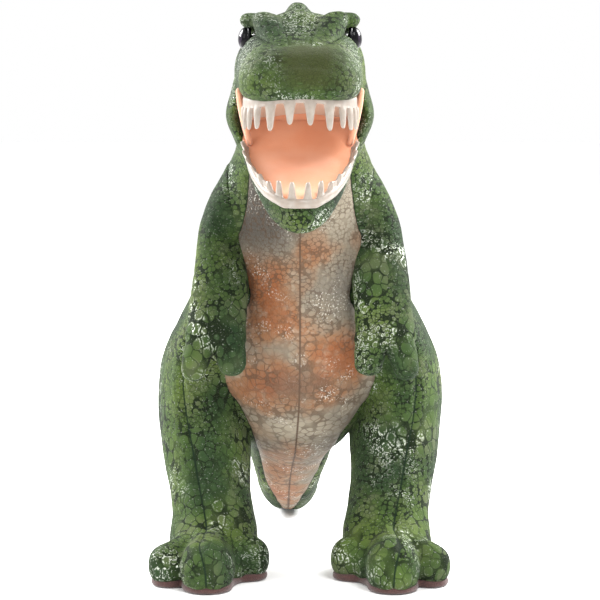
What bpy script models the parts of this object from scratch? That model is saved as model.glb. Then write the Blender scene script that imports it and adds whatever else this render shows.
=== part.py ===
"""A stuffed tyrannosaur: sewn skin panels over stuffing, jointed where its seams let it bend.

The functions work in millimetres and the scene is in metres. +Z is up, the toy looks along -Y,
and its left side is +X. The origin is on the ground, under the middle of the toy.
"""

import math

import bmesh
import bpy
import numpy as np

MM = 0.001
DATUM_TO_MIDDLE = 24.6  # the drawing's y datum is this far ahead of the middle of the toy
GAP = 0.3  # between pieces that touch
SOCKET_ROOM = 1.0  # between a round end and the hollow that turns on it
CLOTH = 1.2  # thickness of a skin panel
LINING = 1.0  # thickness of the mouth lining
CORE = CLOTH + 3 * GAP  # depth of the stuffing's surface

# Joint centres: (x, y, z).
NECK = np.array([0.0, -16.0, 243.0])
NECK_R = 32.0
JAW = np.array([0.0, -60.0, 262.0])
JAW_R = 13.0
JAW_HALF = 38.0
HIP = np.array([50.0, 27.0, 108.0])
HIP_TILT = math.radians(15)
HIP_FACE = 38.0  # x of the hip seam's plane at the hip's height
TAIL_ROOT = np.array([-2.0, 72.0, 58.0])
TAIL_ROOT_R = 27.0
TAIL_MID = np.array([-7.5, 140.0, 18.5])
TAIL_MID_R = 17.0

# Spine of the trunk, from the collar to the tail's root:
# x, y, z, half width, half depth to the belly, half depth to the back, half width of the belly cloth.
TRUNK = [
    (0, -15, 231, 37, 34, 34, 30),
    (0, -11, 216, 39, 36, 36, 33),
    (0, -7, 195, 39.5, 37, 37, 36),
    (0, -4, 170, 41, 38, 38, 31),
    (0, 0, 146, 47, 42, 40, 42),
    (0, 9, 122, 48, 46, 44, 42),
    (0, 24, 99, 42, 42, 44, 28),
    (-1, 47, 78, 33, 33, 38, 24),
    (-2, 72, 58, 27, 27, 27, 20),
]
# Tail from its root to the middle, and from there to the tip: x, y, z, half width, two half depths, belly cloth.
TAIL = [
    (-2.4, 79, 53.5, 29.5, 29.5, 29.5, 20),
    (-4, 98, 42, 26, 27.5, 27, 18),
    (-6, 120, 29, 22, 25.5, 22.5, 15),
    (-7.5, 140, 18.5, 17, 17, 17, 12),
]
TAIL_TIP = [
    (-8, 146, 19.7, 19.8, 20.0, 19, 12),
    (-8.8, 165, 14.3, 15, 14.6, 14, 9.5),
    (-9.4, 185, 10.1, 10, 10.2, 9.5, 6.5),
    (-10, 199, 7, 5.5, 5.5, 5.5, 3.5),
]
# Arm from the shoulder to the fingertips: x, y, z, half width, half depths.
ARM = [
    (48, -9, 228, 9.5, 10, 10),
    (50.5, -14, 214, 13, 13, 13),
    (51, -22, 196, 15.5, 13, 12),
    (49, -34, 174, 17.5, 12.5, 11),
    (50, -44, 152, 18, 12, 11),
    (49.5, -50, 136, 18, 11, 10.5),
    (49, -53, 126, 16.5, 9.5, 9.5),
]
# Leg from the thigh's crown to the ankle: z, x, y, half width, half length.
LEG = [
    (165, 63, 21, 10, 25),
    (150, 63, 22, 16.5, 40),
    (130, 62.5, 25, 22, 49),
    (110, 61, 27, 25.5, 52),
    (90, 58.5, 21, 27.5, 47),
    (70, 57.5, 8, 26.5, 38),
    (50, 55, -9, 25, 29),
    (36, 52.5, -21, 24.5, 26),
    (27, 52, -32, 25.5, 30),
]
# Foot: middle of the pad, the toes as (turn from straight ahead in degrees, reach, half width, half height).
FOOT = np.array([52.0, -38.0])
PAD = (25.5, 38.0)
TOES = [(42, 38.0, 11.5, 13), (3, 41.0, 15.5, 17), (-62, 25.5, 11.5, 13)]
TOE_MID = 13.0
FOOT_HEIGHTS = (21.0, 15.0, 9.5, 4.8)
SOLE = 4.5
POCKET = ((0.7, 5.0), (0.6, 12.0), (0.35, 16.0))  # hollow for the pellet bag: share of the pad, height
BAG = ((0.3, 15.5), (0.5, 12.5), (0.56, 9.0), (0.5, 6.0))
FINGER_SPLIT = (52.0, 133.0)  # x and top of the slot between the two fingers
FINGER_SLOT = 1.6  # half its width
# Skull from the nose to the nape: y, half width, widest height, top, underside.
SKULL = [
    (-153.5, 22, 297, 304, 288),
    (-148, 27.5, 297, 310, 284.5),
    (-138, 30, 297, 314.5, 283),
    (-120, 32, 298, 320, 283),
    (-102, 34, 299, 325.5, 283),
    (-86, 37, 300, 330, 282),
    (-70, 39.5, 298, 332, 278),
    (-55, 41, 292, 331.5, 270),
    (-42, 40.5, 286, 329, 252),
    (-22, 39, 281, 322, 252),
    (-4, 37, 277, 309, 252),
    (9, 33, 272, 296, 252),
    (17, 25, 270, 284, 256),
]
# Lower jaw from its hinge to the chin: y, half width, widest height, top, underside.
JAW_RINGS = [
    (-60, 38, 262, 275, 249),
    (-66, 36.5, 258.5, 267, 246),
    (-76, 33, 252, 257, 239),
    (-90, 29.5, 245, 250, 229),
    (-104, 26, 238, 243.5, 220),
    (-117, 20.5, 231, 237, 213.5),
    (-126, 13.5, 226.5, 232.5, 213.5),
]
NOSE_LENGTH = 3.0
EYE = np.array([31.0, -79.0, 318.5])
EYE_OUT = np.array([0.84, -0.34, 0.3])
EYE_FLAT = 14.0  # how far round the eye the skull is pressed flat
EYE_R = 7.0
SHANK_R = 2.0
WASHER_R = 4.5
TOOTH_BAND = 1.2
BAND_TALL = 2.4
UPPER_TEETH = (14, 12.0)  # how many, how long
LOWER_TEETH = (12, 9.0)


def clear_scene():
    for item in list(bpy.data.objects):
        bpy.data.objects.remove(item)


def material(name, colour, roughness, metallic=0.0):
    made = bpy.data.materials.new(name)
    made.use_nodes = True
    shader = made.node_tree.nodes["Principled BSDF"]
    shader.inputs["Base Color"].default_value = (*colour, 1.0)
    shader.inputs["Roughness"].default_value = roughness
    shader.inputs["Metallic"].default_value = metallic
    return made


def resample(stations, count):
    """Reads rows off a smooth curve through the stations."""
    table = np.array(stations, float)
    places = np.linspace(0, len(table) - 1, count)
    low = np.clip(places.astype(int), 0, len(table) - 2)
    part = (places - low)[:, None]
    start = table[low]
    end = table[low + 1]
    before = np.where(low[:, None] > 0, table[low - 1], 2 * start - end)
    above = np.clip(low + 2, None, len(table) - 1)
    after = np.where(low[:, None] + 2 < len(table), table[above], 2 * end - start)
    line = 2 * start + (end - before) * part
    square = (2 * before - 5 * start + 4 * end - after) * part**2
    cube = (3 * start - before - 3 * end + after) * part**3
    return 0.5 * (line + square + cube)


def unit(vectors):
    return vectors / np.linalg.norm(vectors, axis=-1, keepdims=True)


def mirrored(points):
    return points * np.array([-1.0, 1.0, 1.0])


class Form:
    """A closed skin given as rings of points, from a first pole to a last one.

    The bare rings, counted from each end, are sockets and pockets that no cloth covers."""

    def __init__(self, rings, first, last, bare=(0, 0)):
        self.rings = np.array(rings, float)
        self.first = np.array(first, float)
        self.last = np.array(last, float)
        self.bare = bare
        columns = self.rings.shape[1]
        clad = self.rings[bare[0] : len(self.rings) - bare[1]]
        before = 2 * clad[0] - clad[1] if bare[0] else np.tile(self.first, (columns, 1))
        after = 2 * clad[-1] - clad[-2] if bare[1] else np.tile(self.last, (columns, 1))
        stack = np.concatenate([[before], clad, [after]])
        along = stack[2:] - stack[:-2]
        around = np.roll(clad, -1, 1) - np.roll(clad, 1, 1)
        normals = unit(np.cross(around, along))
        outward = clad - clad.mean(1, keepdims=True)
        self.normals = np.zeros(self.rings.shape)
        facing = np.sign(np.sum(outward * normals))
        self.normals[bare[0] : len(self.rings) - bare[1]] = normals * facing

    def mirror(self):
        return Form(mirrored(self.rings), mirrored(self.first), mirrored(self.last), self.bare)

    def at(self, depth):
        """The rings and both poles, moved in by a depth."""
        rings = self.rings - depth * self.normals
        first, last = self.first, self.last
        if not self.bare[0]:
            first = first - depth * unit(self.normals[0].mean(0))
        if not self.bare[1]:
            last = last - depth * unit(self.normals[-1].mean(0))
        return rings, first, last


def build(name, points, faces, skin):
    """One object from points in millimetres, its faces turned out."""
    mesh = bpy.data.meshes.new(name)
    placed = (np.array(points) - np.array([0.0, DATUM_TO_MIDDLE, 0.0])) * MM
    mesh.from_pydata([tuple(p) for p in placed], [], faces)
    work = bmesh.new()
    work.from_mesh(mesh)
    bmesh.ops.recalc_face_normals(work, faces=work.faces)
    if work.calc_volume(signed=True) < 0:
        bmesh.ops.reverse_faces(work, faces=work.faces)
    work.to_mesh(mesh)
    work.free()
    mesh.shade_smooth()
    mesh.set_sharp_from_angle(angle=math.radians(50))
    mesh.materials.append(skin)
    made = bpy.data.objects.new(name, mesh)
    bpy.context.scene.collection.objects.link(made)
    return made


def solid(name, form, depth, skin):
    """The whole inside of a form, a depth below its surface."""
    rings, first, last = form.at(depth)
    rows, columns = rings.shape[:2]
    points = [*rings.reshape(-1, 3), first, last]
    faces = []
    for c in range(columns):
        n = (c + 1) % columns
        faces.append((rows * columns, n, c))
        faces.append((rows * columns + 1, (rows - 1) * columns + c, (rows - 1) * columns + n))
        for r in range(rows - 1):
            a = r * columns
            b = a + columns
            faces.append((a + c, a + n, b + n, b + c))
    return build(name, points, faces, skin)


def panel(name, form, rows, columns, skin, thick=CLOTH):
    """A sheet of a form's skin between two rows and two columns, pulled in by half a gap at its edges."""
    count = form.rings.shape[1]
    closed = columns[1] - columns[0] == count
    layers = []
    for depth in (0.0, thick):
        grid = form.at(depth)[0][rows[0] : rows[1] + 1]
        wanted = np.arange(columns[0], columns[1] + (0 if closed else 1)) % count
        grid = grid[:, wanted].copy()
        if not closed:
            for edge, inner in ((0, 1), (-1, -2)):
                step = grid[:, inner] - grid[:, edge]
                grid[:, edge] += step * (GAP / 2 / np.linalg.norm(step, axis=-1, keepdims=True))
        layers.append(grid)
    height, width = layers[0].shape[:2]
    points = [*layers[0].reshape(-1, 3), *layers[1].reshape(-1, 3)]
    under = height * width
    faces = []
    last = width if closed else width - 1
    for r in range(height - 1):
        for c in range(last):
            n = (c + 1) % width
            a, b, d, e = r * width + c, r * width + n, (r + 1) * width + n, (r + 1) * width + c
            faces.append((a, b, d, e))
            faces.append((under + a, under + e, under + d, under + b))
    for r in (0, height - 1):
        for c in range(last):
            a, b = r * width + c, r * width + (c + 1) % width
            faces.append((a, under + a, under + b, b))
    if not closed:
        for c in (0, width - 1):
            for r in range(height - 1):
                a, b = r * width + c, (r + 1) * width + c
                faces.append((a, b, under + b, under + a))
    return build(name, points, faces, skin)


def frames(path):
    """Tangent, side and belly directions along a path."""
    tangent = unit(np.gradient(path, axis=0))
    side = np.array([1.0, 0.0, 0.0]) - tangent * tangent[:, :1]
    side = unit(side)
    return tangent, side, np.cross(tangent, side)


def ring(centre, side, belly, half, front, back, angles):
    depth = np.where(np.cos(angles) > 0, front, back)
    across = np.outer(half * np.sin(angles), side)
    return centre + across + np.outer(depth * np.cos(angles), belly)


def belly_angles(half, cloth, belly_columns, back_columns):
    """Angles round a ring, with a column on each edge of the belly cloth."""
    edge = math.asin(min(0.93, cloth / half))
    front = np.linspace(0, edge, belly_columns + 1)[:-1]
    rear = np.linspace(edge, math.pi, back_columns + 1)[:-1]
    left = np.concatenate([front, rear])
    right = 2 * math.pi - np.concatenate([left[1:], [math.pi]])[::-1]
    return np.concatenate([left, right])


def tube(rows, angles, start, end):
    """A form along stations, whose ends are ("dome", length) or ("socket", centre, radius)."""
    path = rows[:, :3]
    tangent, side, belly = frames(path)
    rings = [
        ring(path[i], side[i], belly[i], *rows[i, 3:6], angles[i]) for i in range(len(rows))
    ]
    poles = []
    bare = []
    for kind, i, away in ((start, 0, -1.0), (end, -1, 1.0)):
        out = tangent[i] * away
        extra = []
        if kind[0] == "dome":
            poles.append(path[i] + out * kind[1])
            for turn in (25, 50, 72):
                share = math.cos(math.radians(turn))
                lift = out * kind[1] * math.sin(math.radians(turn))
                extra.append(path[i] + lift + (rings[i] - path[i]) * share)
        else:
            centre, radius = kind[1], kind[2] + SOCKET_ROOM
            poles.append(centre - out * radius)
            rim = rings[i] - path[i]
            aim = unit(rim)
            reach = np.dot(path[i] - centre, -out)
            widest = math.sqrt(radius**2 - reach**2)
            for share in (1.0, 0.85, 0.6, 0.3):
                wide = widest * share
                extra.append(centre - out * math.sqrt(radius**2 - wide**2) + aim * wide)
        bare.append(0 if kind[0] == "dome" else len(extra))
        if away < 0:
            rings = extra[::-1] + rings
        else:
            rings = rings + extra
    return Form(rings, poles[0], poles[1], bare)


def hip_side(points):
    """How far points lie outside the left hip seam's plane."""
    outward = np.array([math.cos(HIP_TILT), 0.0, -math.sin(HIP_TILT)])
    return (points - np.array([HIP_FACE, 0.0, HIP[2]])) @ outward, outward


def keep_inside_hips(form):
    """Flattens the trunk where the thighs lie against it."""
    rings = form.rings
    for flip in (False, True):
        rings = mirrored(rings) if flip else rings
        beyond, outward = hip_side(rings)
        reach = np.clip(beyond + GAP, 0, None)
        near = rings[..., 1] < TAIL_ROOT[1] - 8
        rings = rings - (reach * near)[..., None] * outward
        rings = mirrored(rings) if flip else rings
    return Form(rings, form.first, form.last, form.bare)


def trunk_form():
    rows = resample(TRUNK, 10)
    angles = [belly_angles(r[3], r[6], 3, 7) for r in rows]
    form = tube(rows, angles, ("socket", NECK, NECK_R), ("dome", TAIL_ROOT_R))
    return keep_inside_hips(form)


def tail_forms():
    root = resample(TAIL, 5)
    tip = resample(TAIL_TIP, 5)
    root_angles = [belly_angles(r[3], r[6], 2, 6) for r in root]
    tip_angles = [belly_angles(r[3], r[6], 2, 6) for r in tip]
    return (
        tube(root, root_angles, ("socket", TAIL_ROOT, TAIL_ROOT_R), ("dome", TAIL_MID_R)),
        tube(tip, tip_angles, ("socket", TAIL_MID, TAIL_MID_R), ("dome", 5.5)),
    )


def ball_form():
    """The stuffed ball of the neck."""
    angles = np.linspace(0, 2 * math.pi, 19)[:-1]
    heights = np.radians([66, 42, 21, 0, -21, -42, -66])
    rings = []
    for lift in heights:
        wide = NECK_R * math.cos(lift)
        low = NECK + np.array([0, 0, NECK_R * math.sin(lift)])
        rings.append(low + wide * np.stack([np.sin(angles), -np.cos(angles), 0 * angles], 1))
    up = np.array([0, 0, NECK_R])
    return Form(rings, NECK + up, NECK - up)


def arm_form():
    rows = resample(ARM, 8)
    angles = [np.linspace(0, 2 * math.pi, 13)[:-1]] * len(rows)
    form = tube(rows, angles, ("dome", 8.0), ("dome", 9.5))
    inner = np.interp(form.rings[..., 2], (170, 184), (0, 40.6))
    form.rings[..., 0] = np.maximum(form.rings[..., 0], inner)
    return Form(form.rings, form.first, form.last)


def toe_reach(angles, turn, reach, half, tall, height):
    """How far a toe, a round-ended bar, reaches from the middle of the foot at each angle."""
    lift = 1 - ((height - TOE_MID) / tall) ** 2
    half = half * math.sqrt(max(lift, 0.0))
    off = np.abs((angles - math.radians(turn) + math.pi) % (2 * math.pi) - math.pi)
    sine = np.maximum(np.sin(off), 1e-6)
    tip = reach * np.cos(off) + np.sqrt(np.maximum(half**2 - (reach * sine) ** 2, 0))
    side = half / sine
    found = np.where(off < math.atan2(half, reach), tip, side)
    return np.where(off < math.pi / 2, found, 0.0)


def foot_ring(height, angles):
    across, ahead = PAD
    swell = 1 - 0.12 * ((height - TOE_MID) / TOE_MID) ** 2
    reach = swell / np.sqrt((np.sin(angles) / across) ** 2 + (np.cos(angles) / ahead) ** 2)
    for turn, out, half, tall in TOES:
        reach = np.maximum(reach, toe_reach(angles, turn, out, half, tall, height))
    flat = np.full(len(angles), height)
    return np.stack([FOOT[0] + reach * np.sin(angles), FOOT[1] - reach * np.cos(angles), flat], 1)


def foot_angles():
    """Angles from straight ahead, closer together over the toes."""
    front = np.radians(np.linspace(0, 90, 9)[:-1])
    back = np.radians(np.linspace(90, 180, 6)[:-1])
    left = np.concatenate([front, back])
    return np.concatenate([left, 2 * math.pi - np.concatenate([left[1:], [math.pi]])[::-1]])


def leg_form():
    """The left leg, from the thigh's crown to a pocket over the sole, flat against the hip seam."""
    angles = foot_angles()
    rings = []
    for z, x, y, half, deep in resample(LEG, 9):
        flat = np.full(len(angles), z)
        rings.append(np.stack([x + half * np.sin(angles), y - deep * np.cos(angles), flat], 1))
    top = rings[0]
    crown = np.array([*top.mean(0)[:2], top[0, 2] + 4])
    rings.insert(0, crown + (top - crown) * np.array([0.65, 0.65, 0.4]))
    rings.insert(0, crown + (top - crown) * np.array([0.2, 0.2, 0.05]))
    for height in FOOT_HEIGHTS:
        rings.append(foot_ring(height, angles))
    for share, height in POCKET:
        flat = np.full(len(angles), height)
        across, ahead = PAD[0] * share * np.sin(angles), PAD[1] * share * np.cos(angles)
        rings.append(np.stack([FOOT[0] + across, FOOT[1] - ahead, flat], 1))
    form = Form(rings, crown, (*FOOT, 17.0), (0, len(POCKET)))
    beyond, outward = hip_side(form.rings)
    rings = form.rings + np.clip(GAP - beyond, 0, None)[..., None] * outward
    return Form(rings, form.first, form.last, form.bare)


def bag_form():
    """The pellet bag in the pocket over the left sole."""
    angles = np.linspace(0, 2 * math.pi, 17)[:-1]
    rings = []
    for share, height in BAG:
        flat = np.full(len(angles), height)
        x = FOOT[0] + share * PAD[0] * np.sin(angles)
        rings.append(np.stack([x, FOOT[1] - share * PAD[1] * np.cos(angles), flat], 1))
    return Form(rings, (*FOOT, 16.0), (*FOOT, 5.4))


def sole(name, side, skin):
    """A dished sole of the foot's outline, flat underneath."""
    angles = foot_angles()
    rim = foot_ring(FOOT_HEIGHTS[-1], angles)
    middle = np.array([*FOOT, 0.0])
    layers = []
    for share, height in ((0.93, 0.0), (0.99, 1.6), (1.0, SOLE)):
        layer = middle + (rim - middle) * np.array([share, share, 0.0])
        layers.append(layer + np.array([0, 0, height]))
    points = np.concatenate(layers) * np.array([side, 1, 1])
    count = len(angles)
    faces = [tuple(range(count)), tuple(range(2 * count, 3 * count))]
    for r in range(2):
        for c in range(count):
            n = (c + 1) % count
            a = r * count
            faces.append((a + c, a + n, a + count + n, a + count + c))
    return build(name, points, faces, skin)


def dome_top(x, y, centre, half, radius):
    """Height of the top of an egg that is round about the X axis, or a low number beside it."""
    inside = 1 - (x / half) ** 2 - ((y - centre[1]) / radius) ** 2
    return np.where(inside > 0, centre[2] + radius * np.sqrt(np.maximum(inside, 0)), 0.0)


def slice_ring(row, upper, lower, round_top=2.3, round_low=4.0):
    """A section across Y: a round top of some columns, then an underside of others."""
    y, half, middle, top, low = row
    turn = np.linspace(-math.pi / 2, math.pi / 2, upper + 1)[:-1]
    x_top = half * np.sin(turn)
    z_top = middle + (top - middle) * (1 - np.abs(x_top / half) ** round_top) ** (1 / round_top)
    turn = np.linspace(0, math.pi, lower + 1)[:-1]
    x_low = half * np.cos(turn)
    z_low = middle - (middle - low) * (1 - np.abs(x_low / half) ** round_low) ** (1 / round_low)
    x = np.concatenate([x_top, x_low])
    return np.stack([x, np.full(len(x), y), np.concatenate([z_top, z_low])], 1)


HEAD_TOP, HEAD_LOW = 12, 10


def skull_form():
    """The upper head, hollowed underneath over the neck's ball and the jaw's root."""
    rings = [slice_ring(row, HEAD_TOP, HEAD_LOW) for row in resample(SKULL, 16)]
    nose = rings[0].mean(0) + np.array([0, -NOSE_LENGTH, 0])
    nape = rings[-1].mean(0) + np.array([0, 5.0, 0])
    rings.insert(0, nose + (rings[0] - nose) * np.array([0.7, 0.4, 0.7]))
    rings.append(nape + (rings[-1] - nape) * np.array([0.6, 0.5, 0.6]))
    rings = np.array(rings)
    low = rings[:, HEAD_TOP:]
    ball = dome_top(low[..., 0], low[..., 1], NECK, NECK_R + 1, NECK_R + 1)
    root = dome_top(low[..., 0], low[..., 1], JAW, JAW_HALF + 2, JAW_R + 1)
    low[..., 2] = np.maximum(low[..., 2], np.maximum(ball, root))
    for side in (1, -1):
        centre = EYE * np.array([side, 1, 1])
        out = unit(EYE_OUT) * np.array([side, 1, 1])
        proud = np.clip((rings - centre) @ out, 0, None)
        near = np.clip(2 - np.linalg.norm(rings - centre, axis=-1) / EYE_FLAT, 0, 1)
        rings = rings - (proud * near)[..., None] * out
    return Form(rings, nose, nape)


def skull_top(x, y):
    """Height of the skull's skin over a point."""
    rows = resample(SKULL, 60)
    half, middle, top = (np.interp(y, rows[:, 0], rows[:, i]) for i in (1, 2, 3))
    share = np.clip(np.abs(x) / half, 0, 1)
    return middle + (top - middle) * (1 - share**2.3) ** (1 / 2.3)


def jaw_form():
    """The lower jaw, with a round root that turns under the skull."""
    rings = [slice_ring(row, 8, 8, 6.0, 2.2) for row in resample(JAW_RINGS, 9)]
    root = []
    for turn in (65, 40, 20):
        back = JAW_R * math.sin(math.radians(turn))
        share = math.cos(math.radians(turn))
        row = (JAW[1] + back, JAW_HALF * share, JAW[2], JAW[2] + JAW_R * share, JAW[2] - JAW_R * share)
        root.append(slice_ring(row, 8, 8, 2.0, 2.0))
    rings = root + rings
    chin = rings[-1].mean(0) + np.array([0, -5.0, 0])
    rings.append(chin + (rings[-1] - chin) * np.array([0.62, 0.45, 0.75]))
    return Form(rings, JAW + np.array([0, JAW_R, 0]), chin)


def brow(name, side, skin):
    """A stuffed ridge over the eye, with two humps, lying on the skull."""
    stations = [
        (12, -129, 315.5, 2.5, 2.5, 2.5),
        (15, -114, 321.5, 4.2, 4.2, 4.2),
        (19.5, -97, 328.5, 5.6, 6.0, 5.0),
        (24.0, -89, 328.5, 4.6, 4.6, 4.6),
        (28, -84, 329.5, 4.0, 4.4, 4.0),
        (28.5, -73, 327.5, 2.6, 2.6, 2.6),
    ]
    rows = resample(stations, 8)
    angles = [np.linspace(0, 2 * math.pi, 9)[:-1]] * len(rows)
    form = tube(rows, angles, ("dome", 2.5), ("dome", 3.0))
    for points in (form.rings, form.first[None, None], form.last[None, None]):
        floor = skull_top(points[..., 0], points[..., 1]) + GAP * 2
        points[..., 2] = np.maximum(points[..., 2], floor)
    form = Form(form.rings, form.first, form.last)
    return solid(name, form if side > 0 else form.mirror(), 0.0, skin)


def turned(name, profile, centre, out, skin, segments=16):
    """A piece turned about an axis: profile holds (distance along the axis, radius) from one end to the other."""
    out = unit(np.array(out, float))
    across = unit(np.cross(out, np.array([0.0, 0.0, 1.0])))
    up = np.cross(across, out)
    angles = np.linspace(0, 2 * math.pi, segments + 1)[:-1]
    circle = np.outer(np.cos(angles), across) + np.outer(np.sin(angles), up)
    points = []
    for along, radius in profile:
        points.extend(centre + out * along + circle * radius)
    faces = []
    for r in range(len(profile) - 1):
        for c in range(segments):
            n = (c + 1) % segments
            a = r * segments
            faces.append((a + c, a + n, a + segments + n, a + segments + c))
    ring_shaped = profile[0] == profile[-1]
    if ring_shaped:
        count = (len(profile) - 1) * segments
        faces = [tuple(v % count for v in face) for face in faces]
        points = points[:count]
    else:
        faces.append(tuple(range(segments)))
        faces.append(tuple(range(len(points) - segments, len(points))))
    return build(name, points, faces, skin)


def cut(target, cutter):
    """Takes one shape out of another."""
    cutter.hide_render = True
    cutter.display_type = "WIRE"
    change = target.modifiers.new(cutter.name, "BOOLEAN")
    change.operation = "DIFFERENCE"
    change.object = cutter


def finger_slot(name, side, skin):
    """A round-topped slot along Y, between the two fingers."""
    x, top = FINGER_SPLIT
    outline = [(-FINGER_SLOT, 100.0), (FINGER_SLOT, 100.0)]
    for turn in np.radians([0, 45, 90, 135, 180]):
        outline.append((FINGER_SLOT * math.cos(turn), top + FINGER_SLOT * math.sin(turn)))
    count = len(outline)
    points = [(side * (x + across), y, z) for y in (-80.0, -20.0) for across, z in outline]
    faces = [tuple(range(count)), tuple(range(count, 2 * count))]
    for c in range(count):
        n = (c + 1) % count
        faces.append((c, n, count + n, count + c))
    return build(name, points, faces, skin)


def eyes(parts, gloss, washer):
    """Safety eyes: a dome with a shank through the skin, and a washer behind it."""
    for name, side in (("left", 1), ("right", -1)):
        centre = EYE * np.array([side, 1, 1])
        out = EYE_OUT * np.array([side, 1, 1])
        dome = [(-6.5, SHANK_R), (1.6, SHANK_R), (1.6, EYE_R), (2.4, EYE_R)]
        for turn in (25, 50, 75):
            dome.append((2.4 + 4.4 * math.sin(math.radians(turn)), EYE_R * math.cos(math.radians(turn))))
        turned("eye_" + name, dome, centre, out, gloss)
        inner = SHANK_R + GAP
        loop = [(-5.0, inner), (-3.8, inner), (-3.8, WASHER_R), (-5.0, WASHER_R), (-5.0, inner)]
        turned("eye_washer_" + name, loop, centre, out, washer)
        hole = turned("eye_hole_" + name, [(-5, inner), (9, inner)], centre, out, washer)
        wide = WASHER_R + GAP
        seat = turned("eye_seat_" + name, [(-7.5, wide), (9, wide)], centre, out, washer)
        cut(parts["cheek_" + name], hole)
        cut(parts["head_stuffing"], seat)


def lip_path(share, half, ahead, start, power):
    """A point of a lip's outline seen from above; share runs from -1 at one corner to 1 at the other."""
    turn = share * math.pi / 2
    across = math.sin(turn)
    forward = math.cos(turn)
    x = half * math.copysign(abs(across) ** (2 / power), across)
    return x, start - ahead * forward ** (2 / power)


def upper_lip(share):
    return lip_path(share, 29.5, 67.0, -85.0, 3.0)


def lower_lip(share):
    return lip_path(share, 29.5, 53.0, -75.0, 1.9)


def tooth_strip(name, outline, lip, count, length, up, splay, skin):
    """A moulded band along a lip with a row of pointed teeth on its edge.

    The lip is a station list and the column that holds its height."""
    steps = 4 * count
    shares = np.linspace(-1, 1, steps + 1)
    path = np.array([outline(s) for s in shares])
    ahead = unit(np.gradient(path, axis=0))
    out = np.stack([ahead[:, 1], -ahead[:, 0]], 1)
    rows = resample(lip[0], 60)
    rows = rows[np.argsort(rows[:, 0])]
    rises = np.interp(path[:, 1], rows[:, 0], rows[:, lip[1]]) + up * (BAND_TALL + 3 * GAP)
    edge = []
    for i in range(steps + 1):
        phase = (i % 4) / 4
        edge.append(1.6 + (length - 1.6) * (1 - abs(2 * phase - 1)))
    points = []
    for i in range(steps + 1):
        lean = splay * edge[i]
        thick = TOOTH_BAND if edge[i] < 2 else TOOTH_BAND * 1.5
        if edge[i] > length - 0.5:
            thick = 0.5
        for depth, drop in ((0, -BAND_TALL), (TOOTH_BAND, -BAND_TALL), (thick, edge[i]), (0, edge[i])):
            shift = out[i] * (lean * (drop > 0) - depth)
            points.append((*(path[i] + shift), rises[i] + up * drop))
    faces = [(0, 1, 2, 3), tuple(4 * steps + k for k in (3, 2, 1, 0))]
    for i in range(steps):
        a = 4 * i
        for k in range(4):
            n = (k + 1) % 4
            faces.append((a + k, a + n, a + 4 + n, a + 4 + k))
    return build(name, points, faces, skin)


def body_and_belly(name, form, rows, belly, back, skins):
    """The two flank panels and the belly cloth of a trunk or tail form."""
    green, print_cloth = skins
    count = 2 * (belly + back)
    panel(name + "_panel_left", form, rows, (belly, belly + back), green)
    panel(name + "_panel_right", form, rows, (belly + back, count - belly), green)
    if name == "body":
        panel("belly_panel_left", form, rows, (0, belly), print_cloth)
        panel("belly_panel_right", form, rows, (count - belly, count), print_cloth)
    else:
        panel(name + "_underside", form, rows, (-belly, belly), print_cloth)


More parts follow.
